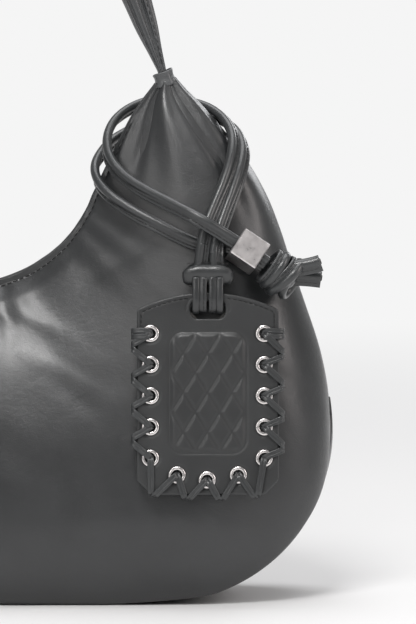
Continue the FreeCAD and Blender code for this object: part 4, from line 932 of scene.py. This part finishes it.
def rbox(x, z, cx, cz, hx, hz, r):
    dx, dz = np.abs(x - cx) - (hx - r), np.abs(z - cz) - (hz - r)
    return np.hypot(np.maximum(dx, 0), np.maximum(dz, 0)) + np.minimum(np.maximum(dx, dz), 0) - r


def tag_outline(x, z):
    """signed distance in mm, negative inside"""
    R = (38.9 ** 2 + 9.3 ** 2) / (2 * 9.3)
    arch = np.hypot(x, z - (2.3 - R)) - R
    side = np.abs(x) - 38.9
    low = -108.6 - z
    clip = (np.abs(x) + (-z) - (38.9 + 108.6 - 8.0)) / math.sqrt(2)
    d = np.maximum(np.maximum(arch, side), np.maximum(low, clip))
    k = 1.6
    for e in ((arch, side), (low, clip), (clip, side)):
        h = np.clip(0.5 + 0.5 * (e[0] - e[1]) / k, 0, 1)
        d = np.maximum(d, e[1] * (1 - h) + e[0] * h + k * h * (1 - h))
    return d


def slot_sd(x, z):
    return rbox(x, z, 0, -7.15, 9.6, 4.85, 3.6)


def motif(x, z):
    """raised padded panel with rounded corners; the second value is the distance to its quilting lines"""
    p = rbox(x, z, 0, -52.5, 20.3, 32.5, 7.0)
    k = 13.4
    a = np.abs(((x + (z + 52.5) * 0.62) / k + 0.5) % 1.0 - 0.5) * k * 0.85
    c = np.abs(((x - (z + 52.5) * 0.62) / k + 0.5) % 1.0 - 0.5) * k * 0.85
    return p, np.minimum(a, c)


def tag_sheet(y_face, y_in, name, mat, slotname, node_names, front, inset=0.0, hole=3.35):
    """a sheet from its face to its inner side; front sheet carries the motif and the seam groove"""
    nx, nz = 196, 262
    xs = np.linspace(-38.9 + inset, 38.9 - inset, nx)
    zs = np.linspace(-108.6 + inset, 2.3 - inset, nz)
    X, Z = np.meshgrid(xs, zs, indexing="ij")
    d = tag_outline(X, Z) + inset
    s = slot_sd(X, Z) - inset * 0.0
    # pull grid points that lie near the outline, the slot or a hole onto it, so the edges are clean
    for _ in range(3):
        for fn, keep_neg in ((lambda a, b: tag_outline(a, b) + inset, True), (lambda a, b: -slot_sd(a, b), True)):
            v = fn(X, Z)
            e = 0.02
            gx, gz = (fn(X + e, Z) - fn(X - e, Z)) / (2 * e), (fn(X, Z + e) - fn(X, Z - e)) / (2 * e)
            g = np.maximum(np.hypot(gx, gz), 1e-6)
            near = np.abs(v) < 0.26
            X = np.where(near, X - v * gx / g ** 2, X)
            Z = np.where(near, Z - v * gz / g ** 2, Z)
        for ex, ez in EYES:
            rr = np.hypot(X - ex, Z - ez)
            near = np.abs(rr - hole) < 0.26
            f = np.where(near, hole / np.maximum(rr, 1e-6), 1.0)
            X, Z = ex + (X - ex) * f, ez + (Z - ez) * f
    d, s = tag_outline(X, Z) + inset, slot_sd(X, Z)
    inside = (d < 0.02) & (s > -0.02)
    rmin = np.full_like(X, 99.0)
    for ex, ez in EYES:
        rmin = np.minimum(rmin, np.hypot(X - ex, Z - ez))
    inside &= rmin > hole - 0.02
    edge = np.minimum(-d, s)
    sg = -1 if y_face < y_in else 1
    lip = 0.45 * (1 - np.sqrt(np.clip(1 - (1 - np.clip(edge / 0.9, 0, 1)) ** 2, 0, 1)))
    h = -lip
    if front:
        mo, line = motif(X, Z)
        h = h + 0.95 * smooth(0.6, -2.2, mo) * (1 - 0.66 * np.exp(-(line / 1.25) ** 2)) - 0.28 * bell(mo, 0.9, 0.8)
        sd = np.abs(edge - 2.3)
        stz = (Z > -16.5)
        h = h - 0.20 * np.exp(-(sd / 0.45) ** 2) * stz * (d > -9)
        h = h + 0.06 * np.sin(X * 0.31 + Z * 0.11) * np.sin(Z * 0.17)
        h = h - 0.35 * np.exp(-((rmin - 4.6) / 1.1) ** 2)
    yo = y_face + sg * h
    V, F = [], []
    idx = -np.ones(X.shape, int)
    k = 0
    ii, jj = np.nonzero(inside)
    idx[ii, jj] = np.arange(len(ii))
    n = len(ii)
    V = [(X[i, j], yo[i, j], Z[i, j]) for i, j in zip(ii, jj)] + [(X[i, j], y_in, Z[i, j]) for i, j in zip(ii, jj)]
    quads = inside[:-1, :-1] & inside[1:, :-1] & inside[1:, 1:] & inside[:-1, 1:]
    # a quad that would cover a hole is dropped
    cxm, czm = (X[:-1, :-1] + X[1:, 1:]) / 2, (Z[:-1, :-1] + Z[1:, 1:]) / 2
    for ex, ez in EYES:
        quads &= np.hypot(cxm - ex, czm - ez) > hole - 0.05
    quads &= slot_sd(cxm, czm) > -0.05
    edges = {}
    for i, j in zip(*np.nonzero(quads)):
        q = (idx[i, j], idx[i + 1, j], idx[i + 1, j + 1], idx[i, j + 1])
        F.append(q)
        F.append(tuple(n + a for a in reversed(q)))
        for a in range(4):
            e = (q[a], q[(a + 1) % 4])
            if (e[1], e[0]) in edges:
                del edges[(e[1], e[0])]
            else:
                edges[e] = 1
    for a, b in edges:
        F.append((b, a, n + a, n + b))
    V = tagw(np.array(V))
    used = sorted({a for f in F for a in f})
    remap = {a: k for k, a in enumerate(used)}
    return make(name, [V[a] for a in used], [tuple(remap[a] for a in f) for f in F], mat, body="tag", slot=slotname, replaces=node_names)


tag_sheet(-1.8, -0.5, "tag_face", TAGL, "tag_leather", ("tag_front",), True)
tag_sheet(1.8, 0.5, "tag_reverse", TAGL, "tag_leather", ("tag_back",), False)
skin("tag_board", BOARD)

# stitching round the tag's arch and upper sides
ms = Mesh()
R = (38.9 ** 2 + 9.3 ** 2) / (2 * 9.3)
rr = R - 2.35
amax = math.asin(36.2 / rr)
n_st = 25
for i in range(n_st):
    a = -amax + 2 * amax * (i + 0.5) / n_st
    x = rr * math.sin(a)
    if abs(x) < 10.3:
        continue
    seg = [(rr * math.sin(a + e), -1.86 - (0.08 if e == 0 else 0.0), 2.3 - R + rr * math.cos(a + e)) for e in (-0.9 / rr, 0, 0.9 / rr)]
    ms.tube(tagw(seg), 0.26, 6)
for sx in (-1, 1):
    for k in range(3):
        z = -10.4 - 3.0 * k
        ms.tube(tagw([(sx * 36.55, -1.86, z + 0.9), (sx * 36.55, -1.94, z), (sx * 36.55, -1.86, z - 0.9)]), 0.26, 6)
ms.build("tag_stitches", THREAD, body="tag", slot="tag_leather")

# eyelets: rolled rims on both faces with a barrel between
m = Mesh()
for ex, ez in EYES:
    prof = []
    for k in range(13):
        q = math.pi * (1.15 - 1.30 * k / 12)
        prof.append((3.72 + 1.02 * math.cos(q), -2.02 - 0.62 * max(0.0, math.sin(q)) - 0.02))
    prof += [(4.70, -1.84), (3.28, -1.84), (3.18, 1.84), (4.3, 1.84)]
    for k in range(9):
        q = math.pi * (0.05 + 0.95 * k / 8)
        prof.append((3.5 + 0.82 * math.cos(q), 1.95 + 0.42 * math.sin(q)))
    prof += [(2.66, 1.7), (2.62, -1.7)]
    rows = [[(ex + r * math.cos(a), y, ez + r * math.sin(a)) for r, y in prof] for a in np.linspace(0, 2 * np.pi, 40, endpoint=False)]
    m.grid(tagw(rows), loop_u=True, loop_v=True)
m.build("eyelets", NICKEL, body="tag", slot="nickel", replaces=("tag_eyelets",))

# lace: flat folded strips that go out from each eyelet, round the tag's edge and in to the next
def bez(ctrl, n):
    """smooth path through control points (Catmull-Rom)"""
    c = np.array(ctrl, float)
    c = np.vstack([2 * c[0] - c[1], c, 2 * c[-1] - c[-2]])
    out = []
    for i in range(1, len(c) - 2):
        for q in np.linspace(0, 1, n, endpoint=False):
            a, b, d, e = c[i - 1], c[i], c[i + 1], c[i + 2]
            out.append(0.5 * (2 * b + (d - a) * q + (2 * a - 5 * b + 4 * d - e) * q * q + (3 * b - a - 3 * d + e) * q ** 3))
    out.append(c[-2])
    return np.array(out)


LC = Mesh()
STRIP = []
for k in range(9):
    u = -1 + 2 * k / 8
    STRIP.append((u * 1.68, 0.55 - 0.34 * math.exp(-(u / 0.13) ** 2) - 0.10 * u * u))
STRIP += [(1.76, 0.0)] + [(-u * 1.68, -0.42 + 0.06 * u * u) for u in np.linspace(-1, 1, 7)] + [(-1.76, 0.0)]
STRIP = np.array(STRIP)


def lace_strip(ctrl, ups, w=1.0, twist=0.0):
    p = bez(ctrl, 7)
    U = bez(ups, 7)
    T, A, B = frames(p, U)
    s = np.linspace(0, 1, len(p))
    ww = w * (1 + 0.06 * np.sin(s * 7 + twist))
    pts = p[:, None, :] + A[:, None, :] * (STRIP[None, :, 0, None] * ww[:, None, None]) + B[:, None, :] * STRIP[None, :, 1, None]
    LC.grid(tagw(pts), loop_v=True, caps=True)


F, K = (0, -1, 0), (0, 1, 0)


def wrap(e0, corner, e1, first_on_top):
    """from eyelet e0 round the edge at corner and on to eyelet e1"""
    e0, e1, c = np.array(e0, float), np.array(e1, float), np.array(corner, float)
    edge = np.array([np.clip(c[0], -38.9, 38.9), max(c[1], -108.6)])
    out = c - edge
    L = np.linalg.norm(out)
    out = out / L if L > 0.3 else np.array([0, -1.0])
    o3 = (out[0], -0.3, out[1])
    ya, yb = (-3.9, -3.3) if first_on_top else (-3.3, -3.9)
    for e, y, sgn in ((e0, ya, 1), (e1, yb, -1)):
        d = (c - e) / np.linalg.norm(c - e)
        st = np.array([d[1], -d[0]]) * 0.0
        cc = c + out * 0.0 + (e0 - e1) / np.linalg.norm(e0 - e1) * 0.9 * sgn
        ctrl = [(e[0] - d[0] * 1.2, -0.2, e[1] - d[1] * 1.2), (e[0] - d[0] * 0.2, -2.3, e[1] - d[1] * 0.2), (e[0] + d[0] * 2.4, y, e[1] + d[1] * 2.4),
                ((e[0] * 0.45 + cc[0] * 0.55), y + 0.35, (e[1] * 0.45 + cc[1] * 0.55)), (cc[0] - d[0] * 1.5, y * 0.86, cc[1] - d[1] * 1.5),
                (cc[0] - out[0] * 0.2, -1.2, cc[1] - out[1] * 0.2), (cc[0] - out[0] * 0.4, 1.1, cc[1] - out[1] * 0.4), (cc[0] - out[0] * 2.2 , 2.6, cc[1] - out[1] * 2.2)]
        ups = [(d[0], -0.3, d[1]), (d[0] * 0.3, -1, d[1] * 0.3), F, F, (out[0] * 0.25, -1, out[1] * 0.25), o3, (out[0], 0.35, out[1]), K]
        lace_strip(ctrl, ups, twist=e[0] + e[1])
    # the return on the back, from the edge to the second eyelet
    d = (c - e1) / np.linalg.norm(c - e1)
    lace_strip([(e1[0] - d[0] * 1.0, 0.6, e1[1] - d[1] * 1.0), (e1[0] + d[0] * 0.6, 2.9, e1[1] + d[1] * 0.6), ((e1[0] + c[0]) / 2, 3.0, (e1[1] + c[1]) / 2), (c[0] - out[0] * 2.4, 2.9, c[1] - out[1] * 2.4), (c[0] - out[0] * 0.6, 1.9, c[1] - out[1] * 0.6)],
               [(d[0], 0.3, d[1]), K, K, K, (out[0], 0.8, out[1])])


LEFT, RIGHT, LOW = EYES[:5], EYES[5:10], EYES[10:]
for k in range(4):
    wrap(LEFT[k], (-41.7, LEFT[k][1] - 7.3), LEFT[k + 1], False)
    wrap(RIGHT[k], (41.7, RIGHT[k][1] - 11.3), RIGHT[k + 1], True)
wrap(LEFT[4], (-30.2, -108.9), LOW[0], False)
wrap(LOW[0], (-11.4, -110.9), LOW[1], False)
wrap(LOW[1], (7.2, -111.3), LOW[2], True)
wrap(LOW[2], (26.6, -109.6), RIGHT[4], False)
for (ex, ez), sx in ((LEFT[0], -1), (RIGHT[0], 1)):
    for dz, y in ((1.5, -3.2), (-1.6, -3.7)):
        lace_strip([(ex - sx * 0.8, -0.2, ez + dz * 0.3), (ex + sx * 0.4, -2.4, ez + dz * 0.5), (ex + sx * 3.2, y, ez + dz), (ex + sx * 7.6, y + 0.5, ez + dz), (sx * 41.3, -1.3, ez + dz), (sx * 41.2, 1.3, ez + dz), (ex + sx * 6.4, 2.9, ez + dz), (ex + sx * 0.4, 2.6, ez + dz * 0.4), (ex - sx * 0.6, 0.8, ez)],
                   [(sx, -0.3, 0), (sx * 0.4, -1, 0), F, F, (sx, -0.5, 0), (sx, 0.5, 0), K, K, (sx, 0.2, 0)], w=0.82)
LC.build("lace", LACE, body="tag", slot="lace_leather", replaces=("tag_lace",))

# ------------------------------------------------------------------ bottom gusset with a rolled seam
def outline(th, inward):
    q, e = np.radians(th), 0.3
    qa, qb = np.radians(th - e), np.radians(th + e)
    r, ra, rb = rout(th), rout(th - e), rout(th + e)
    dx, dz = rb * np.sin(qb) - ra * np.sin(qa), -rb * np.cos(qb) + ra * np.cos(qa)
    m = np.hypot(dx, dz)
    return r * np.sin(q) - dz / m * inward, ZC - r * np.cos(q) + dx / m * inward


TH0 = math.degrees(math.atan(80.0 / ZC))


def gusset_rows(d, clear, last, amp):
    arc = np.linspace(TH0, last, 70)
    xs = np.linspace(-80, 80, 61)
    rows = []
    for a in arc[::-1]:
        rows.append((-1, a))
    for x in xs[1:-1]:
        rows.append((0, x))
    for a in arc:
        rows.append((1, a))
    out = []
    v = np.linspace(-1, 1, 41)
    for s, a in rows:
        if s == 0:
            hw = np.interp(abs(a), [0, 80], [46.5, float(tab(TAB_TH, TAB_G, TH0))]) - clear
            x, z = np.full_like(v, a), np.full_like(v, d)
            lift = 0.30 * (1 + np.sin(a * 0.07)) * bell(np.abs(v), 0.6, 0.25) * amp
            z = z + lift * 0.6
        else:
            hw = max(0.22, float(tab(TAB_TH, TAB_G, a)) - clear)
            ease = min(1.0, (a - TH0) / 6.0)
            dl = max(0.0, float(tab(TAB_TH, TAB_DEL, a)))
            sag = 0.55 * math.sin((a - TH0) * 0.33) * smooth(TH0, TH0 + 8, a) * (1 - v * v) * amp
            tuck = 0.25 * smooth(40, 50, a) * amp
            x, z = outline(np.full_like(v, a), d + (dl - 0.5) * v * v * ease + sag * 0.6 + tuck)
            x = s * x
        p = np.stack([x, hw * v, np.maximum(z, d if s == 0 else 0.0)], -1)
        out.append(p)
    return np.array(out)


g0, g1 = gusset_rows(0.0, 1.75, 55.6, 1.0), gusset_rows(1.5, 1.75, 55.6, 1.0)
g0[..., 2] = np.maximum(g0[..., 2], 0.0)
slab_mesh(g0, g1, 3).build("gusset", SHELL, replaces=("bottom_gusset",))
g0, g1 = gusset_rows(4.4, 7.0, 44.0, 0.0), gusset_rows(5.1, 7.0, 44.0, 0.0)
g1[..., 2] += 0.35 * (1 + np.sin(g1[..., 0] * 0.11) * np.sin(g1[..., 1] * 0.13)) * smooth(1.0, 0.8, np.abs(g1[..., 1]) / 39)
slab_mesh(g0, g1, 2).build("lining_base", LINING, slot="lining_fabric", replaces=("base_lining",))
skin("base_board", BOARD)

# pocket on the back lining, with a bound top edge
ths = np.linspace(-26, 26, 81)
TH, TT = np.meshgrid(ths, np.linspace(0.36, 0.62, 34), indexing="ij")
base, n = raw(TH, TT), normals(TH, TT)
sag = 0.5 * np.sin(np.radians(TH) * 9) * smooth(0.55, 0.36, TT) * 0.5
slab_mesh(base - n * 4.95, base - n * (5.6 + np.abs(sag))[..., None], 2).build("pocket", LINING, slot="lining_fabric", replaces=("inner_pocket",))
m = Mesh()
p = raw(ths, np.full_like(ths, 0.362)) - normals(ths, np.full_like(ths, 0.362)) * 5.35
m.tube(p, 1.15, 12, flat=0.8)
m.build("pocket_binding", SHELL, slot="lining_fabric")

# ------------------------------------------------------------------ zip
def mouth(th, r, y):
    q = np.radians(th)
    rr = rin(th) + r
    return np.stack([rr * np.sin(q), y + 0 * q, ZC - rr * np.cos(q)], -1)


for nm, side in (("front", -1), ("back", 1)):
    ths = np.linspace(-99, 99, 421)
    ya = row_gap(ths) + 0.9
    yb = np.maximum(gap(ths) - np.interp(np.abs(ths), [84, 92], [2.75, 2.0]), row_gap(ths) + 2.9)
    rows0, rows1 = [], []
    for f in np.linspace(0, 1, 7):
        y = ya * (1 - f) + yb * f
        hump = 0.25 * math.sin(math.pi * f)
        rows0.append(mouth(ths, 0.95 - hump + 0.10 * np.sin(ths * 1.9), side * y))
        rows1.append(mouth(ths, 1.75 - hump + 0.10 * np.sin(ths * 1.9), side * y))
    slab_mesh(np.array(rows0).transpose(1, 0, 2), np.array(rows1).transpose(1, 0, 2), 2).build("tape_" + nm, TAPE, slot="tape_fabric", replaces=("zip_tape_" + nm,))
    # teeth: pressed metal, each a shank with a rounded nose, alternating with the other row
    m = Mesh()
    pitch = math.degrees(1.9 / 77.9)
    a = -97.0 + (0 if side < 0 else pitch / 2)
    while a < 97.0:
        rg = float(row_gap(a))
        nose = -0.55 if rg < 0.5 else 0.0
        w = 0.62
        q = math.radians(a)
        tx, tz = math.cos(q), math.sin(q)
        prof = [(rg + 2.35, 0.62, 0.30), (rg + 2.2, 0.70, 0.18), (rg + 1.4, 0.66, 0.12), (rg + 0.75, 0.50, 0.12), (rg + 0.35, 0.62, 0.14), (rg + nose + 0.35, 0.60, 0.20), (rg + nose + 0.12, 0.42, 0.42)]
        rows = []
        for y, hw, ins in prof:
            lo_, hi_ = 2.55 - ins, 0.30 + ins
            ring = []
            for cu, cr in ((-1, -1), (-1, -0.6), (-0.6, -1), (0.6, -1), (1, -0.6), (1, 0.6), (0.6, 1), (-0.6, 1), (-1, 0.6)):
                if (cu, cr) == (-1, -1):
                    continue
                rr = (hi_ + lo_) / 2 + cr * (lo_ - hi_) / 2
                c = mouth(np.array(a), rr, side * y)
                ring.append(c + np.array([tx, 0, tz]) * cu * hw)
            rows.append(ring)
        m.grid(rows, loop_v=True, caps=True)
        a += pitch
    m.build("teeth_" + nm, NICKEL, slot="nickel", replaces=("zip_teeth_" + nm,))
for nname in ("zip_stops", "zip_slider", "zip_puller"):
    skin(nname, NICKEL)
skin("strap_filler", FILL)

# ------------------------------------------------------------------ horn collars: rolled leather cuffs
def tip(side):
    q = math.radians(END)
    r = (float(rin(END)) + float(rout(END))) / 2
    return (np.array([side * r * math.sin(q), 0, ZC - r * math.cos(q)]), np.array([side * math.cos(q), 0, math.sin(q)]))


for nm, side in (("right", 1), ("left", -1)):
    c, d = tip(side)
    e1 = np.array([d[2], 0, -d[0]])
    prof = [(0.2, -3.0), (4.2, -3.2), (6.1, -2.8), (6.15, -1.6), (5.55, 0.2), (5.25, 1.8), (5.2, 3.2), (5.45, 4.2), (5.62, 4.8), (5.45, 5.3), (5.0, 5.45),
            (4.6, 5.15), (4.42, 4.4), (4.35, 3.0), (4.3, 2.0), (0.2, 1.8)]
    m = Mesh()
    rows = []
    for k in range(72):
        a = 2 * math.pi * k / 72
        row = []
        for r, h in prof:
            lip = max(0.0, (h - 2.5) / 3.0)
            fold = 1 + 0.030 * math.sin(5 * a + 0.7) * (1 - lip * 0.5) + 0.05 * math.exp(-(((a - 5.2) / 0.35) ** 2))
            wid = 1.0 + 0.05 * abs(math.cos(a))
            hh = h + lip * (0.55 * math.cos(a) * 1.0 + 0.35 * math.sin(2 * a + 0.4)) * (1 if r > 4.3 else 0.6)
            row.append(c + d * hh + (e1 * math.cos(a) * wid + YV * math.sin(a) * 0.94) * r * fold)
        rows.append(row)
    m.grid(np.array(rows), loop_u=True)
    n = 72
    b = len(m.v)
    m.v.append(tuple(c - d * 3.0)); m.v.append(tuple(c + d * 1.8))
    L = len(prof)
    for k in range(n):
        m.f.append((k * L, ((k + 1) % n) * L, b))
        m.f.append((k * L + L - 1, ((k + 1) % n) * L + L - 1, b + 1))
    m.build("collar_" + nm, STRAP_PAINTED_LIGHTER, replaces=("horn_collar_" + nm,))

# ------------------------------------------------------------------ strap: a wide strip folded lengthways, gathered at both ends
PIV = np.array([111.122, 0, 295.635])
ST = [(0, -5.4, 2.2, 2.2), (0, -1.6, 2.5, 2.4), (0, 0, 2.7, 2.6), (-3.4, 9.6, 4.1, 3.0), (-8.4, 24.0, 6.6, 3.6), (-14.6, 41.5, 8.4, 4.0), (-24.0, 66.0, 10.4, 4.0), (-37.0, 97.0, 12.4, 3.8),
      (-52.6, 128.0, 13.6, 3.6), (-69.6, 153.0, 14.6, 3.4), (-89.4, 170.4, 15.0, 3.3), (-111.122, 177.0, 15.0, 3.3)]
tab_s = [(PIV[0] + a + (1.7 if b < -5 else 0.5 if b < -1 else 0), PIV[2] + b, w, t) for a, b, w, t in ST]
ctrl = [(x, 0, z) for x, z, w, t in tab_s] + [(-x, 0, z) for x, z, w, t in tab_s[-2::-1]]
wt = [(w, t, 0) for x, z, w, t in tab_s] + [(w, t, 0) for x, z, w, t in tab_s[-2::-1]]
path, size_ = bez(ctrl, 22), bez(wt, 22)
s = np.concatenate([[0], np.cumsum(np.linalg.norm(np.diff(path, axis=0), axis=1))])
n = 420
q = np.linspace(0, s[-1], n)
# closer stations near both ends
q = s[-1] * (0.5 - 0.5 * np.cos(np.pi * (0.06 + 0.88 * np.linspace(0, 1, n))) - (0.5 - 0.5 * math.cos(math.pi * 0.06))) / (1 - 2 * (0.5 - 0.5 * math.cos(math.pi * 0.06)))
path = np.stack([np.interp(q, s, path[:, k]) for k in range(3)], 1)
W, TH_ = np.interp(q, s, size_[:, 0]), np.interp(q, s, size_[:, 1])
T = np.gradient(path, axis=0)
T /= np.linalg.norm(T, axis=1, keepdims=True)
SIDE = np.cross(np.broadcast_to([0, 1.0, 0], T.shape), T)
NQ = 96
ang = np.linspace(0, 2 * np.pi, NQ, endpoint=False)
u = np.cos(ang)
rows = []
for i in range(n):
    f = min(q[i], s[-1] - q[i])
    g = float(smooth(6, 46, f))                  # how far the pleats have opened out
    ends = float(smooth(-1, 9, f))
    face = np.sign(np.sin(ang)) * np.abs(np.sin(ang)) ** 0.72
    pleat = 0.30 * np.cos(2 * np.pi * 1.35 * (u + 0.10 * math.sin(f * 0.03)) + 0.5) + 0.16 * np.cos(2 * np.pi * 2.9 * u + 1.1 + f * 0.012)
    fold = -0.34 * np.exp(-((u - (0.26 + 0.10 * math.sin(f * 0.021))) / 0.07) ** 2) + 0.26 * np.exp(-((u - (0.40 + 0.10 * math.sin(f * 0.021))) / 0.09) ** 2)
    wav = 0.05 * math.sin(q[i] * 0.06) + 0.03 * math.sin(q[i] * 0.15 + 1)
    h = TH_[i] * (face * (0.90 + wav) + np.where(np.sin(ang) >= 0, 1, -1) * (pleat * 0.55 + fold * g) * np.abs(np.sin(ang)) ** 0.6 * ends)
    across = W[i] * u * (1 + 0.02 * math.sin(q[i] * 0.11))
    # left rim turned over a little, so it reads as a soft folded edge
    h = h + TH_[i] * 0.22 * np.exp(-((u + 0.82) / 0.14) ** 2) * np.where(np.sin(ang) < 0, -1, 0.2) * g
    rows.append(path[i] + SIDE[i] * across[:, None] + np.array([0, 1.0, 0]) * h[:, None])
m = Mesh()
m.grid(np.array(rows), loop_v=True, caps=True)
strap = m.build("strap", STRAP_PAINTED_LIGHTER, body=None, slot="strap_leather", replaces=("strap_leather",))
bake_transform(strap)
# a stitched seam along the underside's middle
m = Mesh()
i = 22
while i < n - 22:
    c0, c1 = path[i], path[min(i + 1, n - 1)]
    dd = (c1 - c0) / np.linalg.norm(c1 - c0)
    for sy in (-1, 1):
        k = int(np.argmin(np.abs(u - 0.62) + (0 if sy > 0 else 0) + np.where(np.sin(ang) * sy > 0, 0, 9)))
        p = np.array(rows[i])[k] + np.array([0, sy * 0.10, 0])
        m.tube([p - dd * 1.1, p + np.array([0, sy * 0.12, 0]), p + dd * 1.1], 0.24, 6)
    j = i
    while j < n - 22 and q[j] - q[i] < 3.6:
        j += 1
    i = j
st = m.build("strap_stitches", THREAD, body="strap", slot="strap_leather")

# ------------------------------------------------------------------ floor that fades into the backdrop
m, nt, b = material("pale_floor")
tc = node(nt, "ShaderNodeTexCoord")
ln_ = node(nt, "ShaderNodeVectorMath", operation="LENGTH")
nt.links.new(tc.outputs["Object"], ln_.inputs[0])
mr = node(nt, "ShaderNodeMapRange")
mr.inputs["From Min"].default_value = 0.55
mr.inputs["From Max"].default_value = 2.2
mr.interpolation_type = "SMOOTHSTEP"
nt.links.new(ln_.outputs["Value"], mr.inputs["Value"])
em = node(nt, "ShaderNodeEmission")
em.inputs["Color"].default_value = (0.913, 0.913, 0.913, 1)
mx = node(nt, "ShaderNodeMixShader")
nt.links.new(mr.outputs["Result"], mx.inputs["Fac"])
nt.links.new(b.outputs["BSDF"], mx.inputs[1])
nt.links.new(em.outputs["Emission"], mx.inputs[2])
nt.links.new(mx.outputs["Shader"], nt.nodes["Material Output"].inputs["Surface"])
b.inputs["Base Color"].default_value = (0.80, 0.80, 0.80, 1)
b.inputs["Roughness"].default_value = 0.9
b.inputs["Specular IOR Level"].default_value = 0.1
me = bpy.data.meshes.new("floor")
R_ = 60.0
vs = [(0, 0, -0.0003)] + [(R_ * math.cos(a), R_ * math.sin(a), -0.0003) for a in np.linspace(0, 2 * np.pi, 64, endpoint=False)]
me.from_pydata(vs, [], [(0, 1 + k, 1 + (k + 1) % 64) for k in range(64)])
floor = bpy.data.objects.new("floor", me)
bpy.context.scene.collection.objects.link(floor)
me.materials.append(m)
floor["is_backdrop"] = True

lo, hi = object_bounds()
